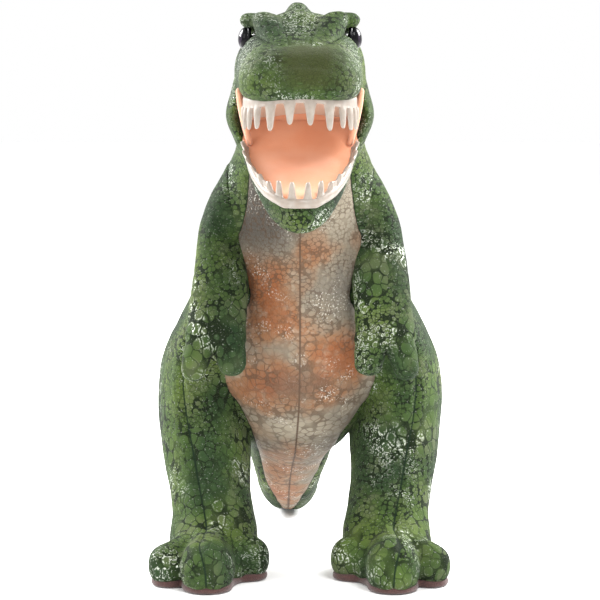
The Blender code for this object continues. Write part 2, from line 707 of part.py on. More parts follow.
def main():
    clear_scene()
    green = material("green_plush", (0.05, 0.13, 0.06), 0.8)
    belly = material("belly_plush", (0.48, 0.33, 0.24), 0.7)
    stuffing = material("polyester_stuffing", (0.85, 0.85, 0.83), 0.95)
    lining = material("mouth_velour", (0.86, 0.42, 0.27), 0.85)
    vinyl = material("tooth_vinyl", (0.85, 0.84, 0.78), 0.4)
    gloss = material("eye_plastic", (0.01, 0.01, 0.012), 0.08)
    washer = material("washer_plastic", (0.75, 0.75, 0.75), 0.4)
    brown = material("sole_plush", (0.07, 0.02, 0.018), 0.85)
    pellets = material("pellet_bag_cloth", (0.7, 0.68, 0.62), 0.8)

    trunk = trunk_form()
    solid("torso_stuffing", trunk, CORE, stuffing)
    body_and_belly("body", trunk, (4, 13), 3, 7, (green, belly))

    ball = ball_form()
    solid("neck_stuffing", ball, CORE, stuffing)
    panel("neck_skin", ball, (1, 5), (0, 18), green)

    tail, tip = tail_forms()
    solid("tail_stuffing", tail, CORE, stuffing)
    body_and_belly("tail", tail, (4, 8), 2, 6, (green, belly))
    solid("tail_tip_stuffing", tip, CORE + GAP, stuffing)
    body_and_belly("tail_tip", tip, (4, 11), 2, 6, (green, belly))

    for name, side in (("left", 1), ("right", -1)):
        arm = arm_form() if side > 0 else arm_form().mirror()
        last = len(arm.rings) - 1
        inside = solid("arm_stuffing_" + name, arm, CORE, stuffing)
        front = panel("arm_front_" + name, arm, (0, last), (-3, 3), green)
        back = panel("arm_back_" + name, arm, (0, last), (3, 9), green)
        slot = finger_slot("finger_slot_" + name, side, green)
        for piece in (inside, front, back):
            cut(piece, slot)
        leg = leg_form() if side > 0 else leg_form().mirror()
        half = leg.rings.shape[1] // 2
        skin_end = len(leg.rings) - 1 - len(POCKET)
        solid("leg_stuffing_" + name, leg, CORE, stuffing)
        panel("leg_outer_" + name, leg, (0, skin_end), (0, half), green)
        panel("leg_inner_" + name, leg, (0, skin_end), (half, 2 * half), green)
        sole("foot_sole_" + name, side, brown)
        bag = bag_form() if side > 0 else bag_form().mirror()
        solid("pellet_bag_" + name, bag, 0.0, pellets)
        brow("brow_" + name, side, green)

    skull = skull_form()
    parts = {"head_stuffing": solid("head_stuffing", skull, CORE + GAP, stuffing)}
    last = len(skull.rings) - 1
    panel("head_crown", skull, (0, last), (3, 9), green)
    parts["cheek_left"] = panel("cheek_left", skull, (0, last), (9, 14), green)
    parts["cheek_right"] = panel("cheek_right", skull, (0, last), (-2, 3), green)
    panel("palate_lining", skull, (1, 9), (14, 20), lining, LINING)
    eyes(parts, gloss, washer)

    jaw = jaw_form()
    last = len(jaw.rings) - 1
    solid("jaw_stuffing", jaw, CORE, stuffing)
    panel("mouth_floor_lining", jaw, (4, last), (1, 7), lining, LINING)
    panel("jaw_skin", jaw, (3, last), (7, 17), green)

    tooth_strip("teeth_upper", upper_lip, (SKULL, 4), *UPPER_TEETH, -1, 0.05, vinyl)
    tooth_strip("teeth_lower", lower_lip, (JAW_RINGS, 3), *LOWER_TEETH, 1, 0.35, vinyl)


main()
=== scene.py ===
"""The looks of a stuffed tyrannosaur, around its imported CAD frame.

The shapes are worked out in millimetres on the drawing's datum and placed in metres. +Z is up,
the toy looks along -Y and its left side is +X.
"""

import math

import bmesh
import bpy
import numpy as np
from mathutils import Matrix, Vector, noise
from mathutils.bvhtree import BVHTree
from mathutils.kdtree import KDTree


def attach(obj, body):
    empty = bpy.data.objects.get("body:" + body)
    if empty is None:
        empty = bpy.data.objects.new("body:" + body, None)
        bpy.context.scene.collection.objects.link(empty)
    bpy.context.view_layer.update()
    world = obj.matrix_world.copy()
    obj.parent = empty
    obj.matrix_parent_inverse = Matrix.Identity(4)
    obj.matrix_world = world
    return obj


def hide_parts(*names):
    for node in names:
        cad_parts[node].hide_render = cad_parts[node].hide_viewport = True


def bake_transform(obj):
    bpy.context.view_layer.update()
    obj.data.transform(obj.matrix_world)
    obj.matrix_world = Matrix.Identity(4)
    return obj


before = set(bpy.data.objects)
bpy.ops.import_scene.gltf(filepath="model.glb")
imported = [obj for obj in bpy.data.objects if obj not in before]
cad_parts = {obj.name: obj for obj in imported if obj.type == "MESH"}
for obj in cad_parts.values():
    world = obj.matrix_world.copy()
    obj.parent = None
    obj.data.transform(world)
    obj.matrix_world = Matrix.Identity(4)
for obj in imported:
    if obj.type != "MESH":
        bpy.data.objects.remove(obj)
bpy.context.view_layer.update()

MM = 0.001
MIDDLE = 24.6  # the drawing's y datum is this far ahead of the toy's middle
SPACING = 1.5  # between the points of a fine skin
FAR = 60.0  # distances beyond this are not measured
SIDES = (("left", 1), ("right", -1))
DOME_TURNS = (15, 30, 45, 58, 70, 80, 86)  # degrees at which a round end has its rings

# From the neck, inside the head, to the tail's tip: x, y, z, half width, half depth to the belly
# and to the back, half width of the belly cloth.
SPINE = [
    (0, -4, 286, 22, 22, 24, 12),
    (0, -9, 270, 32, 30, 32, 22),
    (0, -14, 252, 37.5, 34, 35, 29),
    (0, -15, 233, 39.5, 35.5, 36, 31),
    (0, -11, 216, 40, 37, 37, 33),
    (0, -7, 195, 40.5, 38, 38, 36.5),
    (0, -4, 170, 42, 39, 39, 30.5),
    (0, 0, 146, 47, 43, 41, 42),
    (-0.6, 9, 122, 49, 47, 45, 42.5),
    (-2.6, 24, 99, 41, 42, 45, 27),
    (-5, 47, 78, 29.5, 32, 39, 22),
    (-6.7, 70, 60, 26, 28, 31, 17),
    (-7.4, 98, 42, 22.6, 24.5, 27.5, 10.5),
    (-7.8, 120, 29.5, 20.4, 20.5, 23, 6),
    (-8.3, 143, 20, 18.8, 17.5, 19.5, 3),
    (-8.9, 165, 14.8, 15.5, 14, 14.5, 2.4),
    (-9.4, 185, 10.8, 10.5, 10.1, 10, 2),
    (-10, 198, 8, 6.5, 6.5, 6.5, 1.6),
]
# Arm: x, y, z, half width, half depths.
ARM = [
    (35, -8, 240, 4.5, 8, 9),
    (39.5, -9, 231, 8, 11, 12),
    (44.4, -11, 221, 10, 13, 14),
    (48, -15, 210, 11.5, 14, 14.5),
    (49.8, -21, 197, 12.3, 14, 13.5),
    (47.8, -32, 178, 16.6, 14, 13),
    (48.8, -41, 160, 17.2, 13, 12),
    (50.4, -48, 145, 17.6, 11.5, 11),
]
FINGERS = {
    "outer": [(55, -44, 152, 6.5, 8, 8), (58, -49, 143, 8.6, 9.4, 9), (60.6, -52.5, 134, 8.5, 9.2, 8.8),
              (62.4, -54.5, 127, 7.6, 8.4, 8)],
    "inner": [(45.5, -44, 152, 6.5, 8, 8), (42.4, -49, 143, 9.2, 9.8, 9.4), (40.8, -52.5, 135, 9.2, 9.6, 9.2),
              (40, -54, 130, 8.4, 8.8, 8.4)],
}
# Leg: z, x, y, half width, half length.
LEG = [
    (168, 55, 21, 9, 26),
    (158, 57, 21, 12.5, 36),
    (146, 59.5, 22, 16.5, 43),
    (130, 61.5, 25, 22, 49),
    (110, 61.8, 27, 26, 52),
    (90, 60, 21, 28.2, 47),
    (70, 57.8, 8, 27.4, 38),
    (50, 55.4, -9, 24.8, 30),
    (36, 53, -21, 24.6, 27),
    (26, 52, -31, 26, 30),
    (13, 52, -37, 27, 36),
    (2.6, 52, -38, 25, 36.5),
]
FOOT = np.array([52.0, -38.0])
TOES = [(42, 38.0, 11.8, 13.6), (3, 41.0, 15.8, 17.6), (-62, 25.5, 11.8, 13.6)]
TOE_MID = 12.6
CLOTH_LOW = 2.4  # the green cloth of a foot ends here, inside its sole
TAIL_CLEARANCE = 0.4
# Skull: y, half width, widest height, top, underside.
SKULL = [
    (-154, 21, 293, 302, 285),
    (-148, 27.5, 294, 308, 283),
    (-138, 31.2, 295, 312, 282),
    (-120, 33, 296, 317, 282),
    (-102, 34, 297, 325, 282.5),
    (-86, 35.2, 299, 332, 281.5),
    (-70, 36.8, 297, 334, 278),
    (-55, 38.2, 292, 332.5, 268),
    (-42, 38.4, 286, 329, 252),
    (-22, 38, 281, 322, 247),
    (-4, 36.8, 277, 309, 247),
    (9, 33.5, 272, 296, 250),
    (17, 25, 270, 284, 256),
]
# Lower jaw: y, half width, widest height, top, underside.
JAW = [
    (-50, 32, 262, 270, 254),
    (-60, 35, 261, 273, 250),
    (-66, 35, 258.5, 267.5, 246.5),
    (-76, 32.4, 252, 257.5, 239),
    (-90, 28.6, 245, 250, 229),
    (-104, 24.6, 238, 243.5, 219.5),
    (-117, 19, 231, 237, 212.5),
    (-126, 12.5, 227, 233.5, 211.5),
    (-131, 7.5, 225, 231, 214),
]
# How far the limbs run into the body, by height.
SHOULDER_HEIGHTS, SHOULDER_FILLET = (184, 200, 216, 236), (2, 10, 20, 20)
HIP_HEIGHTS, HIP_FILLET = (60, 95, 120, 150), (2, 3, 18, 26)
EYE = np.array([28.6, -80.0, 318.8])
EYE_OUT = np.array([0.96, -0.22, 0.12])
EYE_R = 7.2


def unit(v):
    return v / np.maximum(np.linalg.norm(v, axis=-1, keepdims=True), 1e-9)


def smooth_step(x, low, high):
    t = np.clip((np.asarray(x, float) - low) / (high - low), 0, 1)
    return t * t * (3 - 2 * t)


def bell(distance, width):
    return np.exp(-((distance / width) ** 2))


def tree_of(points):
    tree = KDTree(len(points))
    for i, p in enumerate(points):
        tree.insert(p, i)
    tree.balance()
    return tree


def around_from(start, stop, count):
    """Angles from start, with stop left off."""
    return np.linspace(start, stop, count + 1)[:-1]


def outward(points, faces):
    """The faces of a closed mesh, turned so that they all look out."""
    work = bmesh.new()
    made = [work.verts.new(v) for v in points]
    for f in faces:
        work.faces.new([made[i] for i in f])
    flipped = work.calc_volume(signed=True) < 0
    work.free()
    return [f[::-1] for f in faces] if flipped else faces


def linked(name, data):
    made = bpy.data.objects.new(name, data)
    bpy.context.scene.collection.objects.link(made)
    return made


def curve_through(stations, step):
    """Rows read off a smooth curve through the stations, evenly spaced along its first three values."""
    table = np.array(stations, float)
    places = np.linspace(0, len(table) - 1, 60 * len(table))
    low = np.clip(places.astype(int), 0, len(table) - 2)
    part = (places - low)[:, None]
    start, end = table[low], table[low + 1]
    before = np.where(low[:, None] > 0, table[low - 1], 2 * start - end)
    after = np.where(low[:, None] + 2 < len(table), table[np.clip(low + 2, None, len(table) - 1)], 2 * end - start)
    line = 2 * start + (end - before) * part
    square = (2 * before - 5 * start + 4 * end - after) * part**2
    cube = (3 * start - before - 3 * end + after) * part**3
    rows = 0.5 * (line + square + cube)
    span = np.linalg.norm(np.diff(rows[:, :3], axis=0), axis=1)
    length = np.concatenate([[0], np.cumsum(span)])
    even = np.linspace(0, length[-1], max(4, int(round(length[-1] / step)) + 1))
    return np.stack([np.interp(even, length, rows[:, i]) for i in range(rows.shape[1])], 1)


class Skin:
    """A closed surface of rings of points between two poles, with its resting points kept for textures."""

    def __init__(self, rings, first, last):
        self.p = np.array(rings, float)
        self.first = np.array(first, float)
        self.last = np.array(last, float)
        self.rest = self.p.copy()
        self.seam = np.full(self.p.shape[:2], FAR)

    def mirror(self):
        flip = np.array([-1.0, 1.0, 1.0])
        return Skin(self.p * flip, self.first * flip, self.last * flip)

    def normals(self):
        ends = [np.tile(pole, (1, self.p.shape[1], 1)) for pole in (self.first, self.last)]
        stack = np.concatenate([ends[0], self.p, ends[1]])
        along = stack[2:] - stack[:-2]
        around = np.roll(self.p, -1, 1) - np.roll(self.p, 1, 1)
        found = unit(np.cross(around, along))
        return found * np.sign(np.sum(found * (self.p - self.p.mean(1, keepdims=True))))

    def push(self, amount):
        self.p = self.p + self.normals() * np.asarray(amount)[..., None]

    def relax(self, weight, turns):
        """Averages each point with its neighbours by a weight for each point."""
        w = np.broadcast_to(np.asarray(weight, float), self.p.shape[:2])[..., None]
        for _ in range(turns):
            up = np.concatenate([self.p[:1], self.p[:-1]])
            down = np.concatenate([self.p[1:], self.p[-1:]])
            mean = (up + down + np.roll(self.p, 1, 1) + np.roll(self.p, -1, 1)) / 4
            self.p = self.p + (mean - self.p) * w * 0.7

    def faces(self):
        rows, columns = self.p.shape[:2]
        grid = np.arange(rows * columns).reshape(rows, columns)
        right = np.roll(grid, -1, 1)
        return np.stack([grid[:-1], right[:-1], right[1:], grid[1:]], -1).reshape(-1, 4)

    def tree(self, step=3):
        """A coarse closed copy, to measure distances to."""
        points, faces = Skin(self.p[::step, ::step], self.first, self.last).closed()
        return BVHTree.FromPolygons([tuple(v) for v in points], faces)

    def closed(self):
        rows, columns = self.p.shape[:2]
        faces = [tuple(int(i) for i in f) for f in self.faces()]
        for c in range(columns):
            n = (c + 1) % columns
            faces.append((n, c, rows * columns))
            faces.append(((rows - 1) * columns + c, (rows - 1) * columns + n, rows * columns + 1))
        points = with_poles(self.p)
        return points, outward(points, faces)


def with_poles(grid):
    """The points of a grid in one list, then the middles of its first and last rings."""
    return np.concatenate([grid.reshape(-1, 3), [grid[0].mean(0)], [grid[-1].mean(0)]])


def distance_to(tree, points):
    """How far points lie outside a closed shape; inside is below zero."""
    flat = points.reshape(-1, 3)
    found = np.full(len(flat), FAR)
    for i, p in enumerate(flat):
        place, normal, _, away = tree.find_nearest(p, FAR)
        if place is not None:
            side = (p[0] - place.x) * normal.x + (p[1] - place.y) * normal.y + (p[2] - place.z) * normal.z
            found[i] = math.copysign(away, side)
    return found.reshape(points.shape[:-1])


def fillet(skin, other, reach):
    """Raises a skin where it meets another shape, so that the two run into each other."""
    reach = np.broadcast_to(np.asarray(reach, float), skin.p.shape[:2])
    base, normal = skin.p.copy(), skin.normals()
    near = np.maximum(reach, 0.01)
    raised = np.zeros(reach.shape)
    away = distance_to(other, base)
    for _ in range(2):
        gap = np.clip(np.abs(away - raised), 0, near)
        raised = (near - gap) ** 2 / (4 * near)
        wanted = raised > 0.05
        away[wanted] = distance_to(other, (base + normal * raised[..., None])[wanted])
    gap = np.clip(np.abs(away - raised), 0, near)
    skin.p = base + normal * ((near - gap) ** 2 / (4 * near))[..., None]


def mark_seams(skin, lines, depth=1.1, width=1.5, swell=0.6):
    """Sinks seams into a skin and lets the cloth swell beside them."""
    tree = tree_of(np.concatenate([np.asarray(line).reshape(-1, 3) for line in lines]))
    away = np.array([tree.find(p)[2] for p in skin.p.reshape(-1, 3)]).reshape(skin.p.shape[:2])
    skin.seam = np.minimum(skin.seam, away)
    pucker = 1 + 0.25 * np.sin(skin.p[..., 2] * 1.9 + skin.p[..., 1] * 1.3)
    skin.push(-depth * pucker * bell(away, width) + swell * bell(away - 6, 4))


def ripple(skin, seed, amounts=((34, 1.0), (15, 0.45), (7, 0.18))):
    """Uneven stuffing: slow swells and small dents."""
    flat = skin.rest.reshape(-1, 3)
    lift = np.zeros(len(flat))
    for size, amount in amounts:
        shift = Vector((seed * 13.1, seed * 7.7, size))
        lift += amount * np.array([noise.noise(Vector(p / size) + shift) for p in flat])
    skin.push(lift.reshape(skin.p.shape[:2]))


def frames(path):
    tangent = unit(np.gradient(path, axis=0))
    side = unit(np.array([1.0, 0.0, 0.0]) - tangent * tangent[:, :1])
    return tangent, side, np.cross(tangent, side)


def domed(rings, centres, tangents, lengths, turns=DOME_TURNS):
    """Adds round ends to a stack of rings and returns it with its poles."""
    rings = list(rings)
    poles = []
    for i, away, length in ((0, -1, lengths[0]), (-1, 1, lengths[1])):
        out = tangents[i] * away
        wide = rings[i] - centres[i]
        extra = []
        for turn in np.radians(turns):
            extra.append(centres[i] + out * length * math.sin(turn) + wide * math.cos(turn))
        poles.append(centres[i] + out * length)
        rings = extra[::-1] + rings if away < 0 else rings + extra
    return Skin(rings, *poles)


BELLY_COLUMNS, BACK_COLUMNS = 34, 54


def spine_skin():
    rows = curve_through(SPINE, SPACING)
    path = rows[:, :3]
    tangent, side, belly = frames(path)
    edge = np.arcsin(np.clip(rows[:, 6] / rows[:, 3], 0, 0.93))
    rings = []
    for i in range(len(rows)):
        left = np.concatenate([around_from(0, edge[i], BELLY_COLUMNS), around_from(edge[i], math.pi, BACK_COLUMNS)])
        angles = np.concatenate([left, 2 * math.pi - np.concatenate([left[1:], [math.pi]])[::-1]])
        depth = np.where(np.cos(angles) > 0, rows[i, 4], rows[i, 5]) * np.cos(angles)
        across = rows[i, 3] * np.sin(angles)
        rings.append(path[i] + np.outer(across, side[i]) + np.outer(depth, belly[i]))
    return domed(rings, path, tangent, (14.0, 6.5))


def tube_skin(stations, step, columns, ends, turns=DOME_TURNS):
    """A round-ended tube along stations of x, y, z, half width and half depths."""
    rows = curve_through(stations, step)
    path = rows[:, :3]
    tangent, across, other = frames(path)
    angles = around_from(0, 2 * math.pi, columns)
    rings = []
    for i in range(len(rows)):
        depth = np.where(np.cos(angles) > 0, rows[i, 4], rows[i, -1])
        rings.append(path[i] + np.outer(rows[i, 3] * np.sin(angles), across[i])
                     + np.outer(depth * np.cos(angles), other[i]))
    return domed(rings, path, tangent, ends, turns)


def toe_reach(turns, heights, toe):
    turn, reach, half, tall = toe
    lift = np.clip(1 - np.abs((heights - TOE_MID) / tall) ** 2.2, 0, None)
    half = half * np.sqrt(lift)
    off = np.abs((turns - math.radians(turn) + math.pi) % (2 * math.pi) - math.pi)
    sine = np.maximum(np.sin(off), 1e-6)
    tip = reach * np.cos(off) + np.sqrt(np.maximum(half**2 - (reach * sine) ** 2, 0))
    found = np.where(off < np.arctan2(half, reach), tip, half / sine)
    return np.where((off < math.pi / 2) & (half > 0.5), found, 0.0)


def soft_max(a, b, k):
    gap = np.clip(k - np.abs(a - b), 0, None)
    return np.maximum(a, b) + gap**2 / (4 * k)


def foot_outline(ring, height, blend):
    """A ring around the foot, pulled out over the toes as they are at a height."""
    off = ring - FOOT
    radius = np.linalg.norm(off, axis=1)
    turns = np.arctan2(off[:, 0], -off[:, 1])
    reach = radius
    for toe in TOES:
        reach = soft_max(reach, toe_reach(turns, height, toe), blend)
    return FOOT + off * (reach / radius)[:, None]


LEG_COLUMNS = 200
ANKLE_TOP = 34
SHIN_TWIST = (13, 36, 110, 150), (3, 8, 20, 24)  # heights, and degrees that the shin seam turns outward


def leg_skin():
    rows = curve_through(LEG, 1.4)
    angles = around_from(0, 2 * math.pi, LEG_COLUMNS)
    rings = []
    for z, x, y, half, deep in rows:
        turn = angles + math.radians(np.interp(z, *SHIN_TWIST))
        ring = np.stack([x + half * np.sin(turn), y - deep * np.cos(turn), np.full(LEG_COLUMNS, z)], 1)
        if z < ANKLE_TOP:
            ring[:, :2] = foot_outline(ring[:, :2], z, 3.0)
        rings.append(ring)
    rings = np.array(rings)
    crown = np.array([*rings[0, :, :2].mean(0), rings[0, 0, 2] + 6])
    caps = []
    for share, drop in ((0.1, 0.0), (0.3, 0.3), (0.5, 0.9), (0.7, 2.2), (0.85, 3.8), (0.94, 5.0)):
        cap = crown + (rings[0] - crown) * np.array([share, share, 0])
        caps.append(cap - np.array([0, 0, drop]))
    rings = np.concatenate([caps, rings])
    floor = np.array([*FOOT, 2.6])
    foot = [floor + (rings[-1] - floor) * np.array([s, s, 0.0]) for s in (0.9, 0.7, 0.45, 0.2)]
    skin = Skin(np.concatenate([rings, foot]), crown, floor)
    flesh = smooth_step(skin.p[..., 2], 40, 28)
    skin.relax(0.25 + 0.4 * flesh, 4)
    return skin


def slice_ring(row, upper, lower, round_top, round_low):
    y, half, middle, top, low = row
    turn = around_from(-math.pi / 2, math.pi / 2, upper)
    x_top = half * np.sin(turn)
    z_top = middle + (top - middle) * (1 - np.abs(x_top / half) ** round_top) ** (1 / round_top)
    turn = around_from(0, math.pi, lower)
    x_low = half * np.cos(turn)
    z_low = middle - (middle - low) * (1 - np.abs(x_low / half) ** round_low) ** (1 / round_low)
    x = np.concatenate([x_top, x_low])
    return np.stack([x, np.full(len(x), y), np.concatenate([z_top, z_low])], 1)


def slices(stations, upper, lower, round_top, round_low, caps):
    """A closed skin of sections across Y, with round ends of the given lengths."""
    table = np.array(stations, float)
    order = np.column_stack([table[:, 0], table[:, 2:3] * 0, table[:, 2:3], table[:, 1], table[:, 3:]])
    rows = curve_through(order, SPACING)
    rings = [slice_ring((r[0], r[3], r[2], r[4], r[5]), upper, lower, round_top, round_low) for r in rows]
    centres = [r.mean(0) for r in rings]
    ahead = np.sign(rows[-1, 0] - rows[0, 0])
    tangent = np.tile([0.0, ahead, 0.0], (len(rows), 1))
    return domed(rings, centres, tangent, caps)


SKULL_TOP, SKULL_LOW = 110, 80
SKULL_CAPS = (5.0, 9.0)
CROWN_EDGES = (30, SKULL_TOP - 30)  # the columns of the crown's two seams
JAW_TOP, JAW_LOW = 60, 84


def skull_skin():
    skin = slices(SKULL, SKULL_TOP, SKULL_LOW, 2.3, 3.4, SKULL_CAPS)
    x, y, z = (skin.p[..., i] for i in range(3))
    top = smooth_step(z, 300, 316)
    lift = 5.4 * bell(np.hypot(x + 1.1, (y + 62) / 2.2) ** 2, 6.2**2) * top
    lift += 0.8 * bell(x + 2, 7) * smooth_step(y, -108, -84) * smooth_step(y, -20, -50) * top
    for side in (1, -1):
        muzzle = np.hypot((x - side * 21) / 1.1, (y + 136) / 1.5)
        lift += 2.2 * bell(muzzle, 13) * smooth_step(z, 284, 293)
        lift += 0.6 * bell(np.hypot((x - side * 36) / 0.8, (y + 92) / 1.6), 14) * smooth_step(z, 286, 296)
        nostril = np.linalg.norm(skin.p - np.array([side * 9.0, -151.5, 301.0]), axis=-1)
        lift -= 1.1 * bell(nostril, 3.2)
        socket = np.linalg.norm(skin.p - EYE * np.array([side, 1, 1]), axis=-1)
        lift -= 6.0 * bell(socket**2, 9.0**2)
        groove = np.abs(np.abs(x) - np.interp(y, (-130, -84), (8.0, 27.0)))
        lift -= 1.0 * bell(groove, 3.5) * smooth_step(y, -136, -122) * smooth_step(y, -78, -92) * top
    lift -= 3.4 * bell(x, 19) * smooth_step(-z, -287, -283) * smooth_step(y, -152, -140)
    skin.push(lift)
    skin.relax(0.6, 4)
    return skin


def jaw_skin():
    return slices(JAW, JAW_TOP, JAW_LOW, 7.0, 2.2, (9.0, 3.0))


def brow_skin(side):
    stations = [
        (8.5, -131, 310.5, 2.6, 2.4, 2.0),
        (11, -121, 314.2, 4.2, 3.6, 3.0),
        (14, -110, 318.8, 5.6, 4.8, 4.0),
        (17.5, -99, 324.4, 7.0, 6.2, 5.0),
        (20, -91, 328.6, 7.2, 6.4, 5.0),
        (24.4, -86, 328.4, 4.6, 3.6, 4.6),
        (28.2, -83, 329.8, 5.2, 5.2, 3.6),
        (29.4, -75, 329.0, 4.6, 4.2, 3.4),
        (28.5, -65, 326.5, 3.0, 3.0, 3.0),
    ]
    skin = tube_skin(stations, 1.0, 48, (2.0, 3.0))
    return skin if side > 0 else skin.mirror()


def place(points):
    return (np.asarray(points, float) - np.array([0.0, MIDDLE, 0.0])) * MM


def mesh_piece(name, points, faces, looks, rest=None, values=None, normals=None):
    """One object from points in millimetres, with its resting points and values kept as attributes."""
    mesh = bpy.data.meshes.new(name)
    mesh.from_pydata([tuple(p) for p in place(points)], [], [tuple(int(i) for i in f) for f in faces])
    mesh.shade_smooth()
    rest = points if rest is None else rest
    kept = mesh.attributes.new("rest", "FLOAT_VECTOR", "POINT")
    kept.data.foreach_set("vector", np.asarray(rest, np.float32).ravel())
    for key, value in (values or {}).items():
        kept = mesh.attributes.new(key, "FLOAT", "POINT")
        kept.data.foreach_set("value", np.asarray(value, np.float32).ravel())
    mesh.materials.append(looks)
    if normals is not None:
        mesh.normals_split_custom_set_from_vertices([tuple(n) for n in normals])
    return linked(name, mesh)


def cut_piece(name, skin, keep, looks, values=None, caps=(0, -1)):
    """The faces of a skin that a (row, column) mask keeps, as one piece, closed to the poles that caps lists."""
    rows, columns = skin.p.shape[:2]
    faces = [tuple(f) for f in skin.faces().reshape(rows - 1, columns, 4)[keep[:-1]]]
    for row in caps:
        ring, pole = (row % rows) * columns, rows * columns - row
        for c in np.nonzero(keep[row])[0]:
            n = (c + 1) % columns
            faces.append((ring + n, ring + c, pole) if row == 0 else (ring + c, ring + n, pole))
    points, rest = with_poles(skin.p), with_poles(skin.rest)
    ends = np.zeros(2)
    poles = [unit(skin.p[0].mean(0) - skin.p[3].mean(0)), unit(skin.p[-1].mean(0) - skin.p[-4].mean(0))]
    normal = np.concatenate([skin.normals().reshape(-1, 3), poles])
    used = np.unique(np.concatenate([np.array(f) for f in faces]))
    index = np.full(len(points), -1)
    index[used] = np.arange(len(used))
    faces = [tuple(index[i] for i in f) for f in faces]
    middle = len(faces) // 2
    a, b, c = (points[used[faces[middle][k]]] for k in range(3))
    if np.dot(np.cross(b - a, c - b), normal[used[faces[middle][0]]]) < 0:
        faces = [f[::-1] for f in faces]
    kept = {"seam": np.concatenate([skin.seam.ravel(), ends + FAR])[used]}
    for key, value in (values or {}).items():
        field = np.broadcast_to(value, (rows, columns)).ravel()
        kept[key] = np.concatenate([field, ends + field.mean()])[used]
    return mesh_piece(name, points[used], faces, looks, rest[used], kept, normal[used])


# Materials


class Graph:
    """A material's nodes, written as calls."""

    def __init__(self, name, **shader):
        self.material = bpy.data.materials.new(name)
        self.material.use_nodes = True
        self.tree = self.material.node_tree
        self.shader = self.tree.nodes["Principled BSDF"]
        for key, value in shader.items():
            self.shader.inputs[key.replace("_", " ").title().replace("Ior", "IOR")].default_value = value

    def node(self, kind, inputs, out=0, **settings):
        made = self.tree.nodes.new(kind)
        for key, value in settings.items():
            setattr(made, key, value)
        for key, value in inputs.items():
            if isinstance(value, bpy.types.NodeSocket):
                self.tree.links.new(value, made.inputs[key])
            else:
                made.inputs[key].default_value = value
        return made.outputs[out]

    def rest(self):
        return self.node("ShaderNodeAttribute", {}, "Vector", attribute_name="rest")

    def value(self, name):
        return self.node("ShaderNodeAttribute", {}, "Fac", attribute_name=name)

    def noise(self, vector, scale, detail=2.0, out=0):
        return self.node("ShaderNodeTexNoise", {"Vector": vector, "Scale": scale, "Detail": detail}, out)

    def cells(self, vector, scale, feature="F1", out=0, randomness=1.0):
        inputs = {"Vector": vector, "Scale": scale, "Randomness": randomness}
        return self.node("ShaderNodeTexVoronoi", inputs, out, feature=feature)

    def scale_edge(self, vector, scale):
        """Distance inwards from the rounded edge of a scale, as a share of its size."""
        straight = self.cells(vector, scale, "DISTANCE_TO_EDGE", randomness=0.8)
        away = self.cells(vector, scale, "F1", randomness=0.8)
        return self.math("MINIMUM", straight, self.math("SUBTRACT", 0.64, away))

    def math(self, kind, a, b=0.0, clamp=False):
        return self.node("ShaderNodeMath", {0: a, 1: b}, operation=kind, use_clamp=clamp)

    def times(self, a, b, clamp=False):
        return self.math("MULTIPLY", a, b, clamp)

    def less(self, value):
        """1 - value."""
        return self.math("SUBTRACT", 1.0, value)

    def moved(self, a, b):
        return self.node("ShaderNodeVectorMath", {0: a, 1: b}, operation="ADD")

    def scaled(self, a, amounts):
        return self.node("ShaderNodeVectorMath", {0: a, 1: amounts}, operation="MULTIPLY")

    def bent(self, vector, scale, amount):
        """A position shaken by noise, so that cells on it aren't straight."""
        return self.moved(vector, self.scaled(self.noise(vector, scale, out="Color"), (amount, amount, amount)))

    def blend_of(self, share, a, b):
        return self.math("ADD", self.times(b, share), self.times(a, self.less(share)))

    def cell_shade(self, vector, scale):
        return self.cells(vector, scale, out="Color")

    def span(self, value, low, high, to_low=0.0, to_high=1.0):
        inputs = {"Value": value, "From Min": low, "From Max": high, "To Min": to_low, "To Max": to_high}
        return self.node("ShaderNodeMapRange", inputs, interpolation_type="SMOOTHSTEP")

    def mix(self, share, a, b, kind="MIX"):
        a, b = (c if isinstance(c, bpy.types.NodeSocket) else (*c, 1.0) for c in (a, b))
        return self.node("ShaderNodeMix", {0: share, 6: a, 7: b}, 2, data_type="RGBA", blend_type=kind)

    def ramp(self, share, stops):
        made = self.tree.nodes.new("ShaderNodeValToRGB")
        self.tree.links.new(share, made.inputs[0])
        bar = made.color_ramp.elements
        while len(bar) < len(stops):
            bar.new(0.5)
        for item, (place_, colour) in zip(bar, stops):
            item.position = place_
            item.color = (*colour, 1.0)
        return made.outputs[0]

    def bump(self, height, strength, distance, under=None):
        inputs = {"Height": height, "Strength": strength, "Distance": distance}
        if under is not None:
            inputs["Normal"] = under
        return self.node("ShaderNodeBump", inputs)

    def plug(self, **sockets):
        for key, value in sockets.items():
            self.tree.links.new(value, self.shader.inputs[key.replace("_", " ").title()])


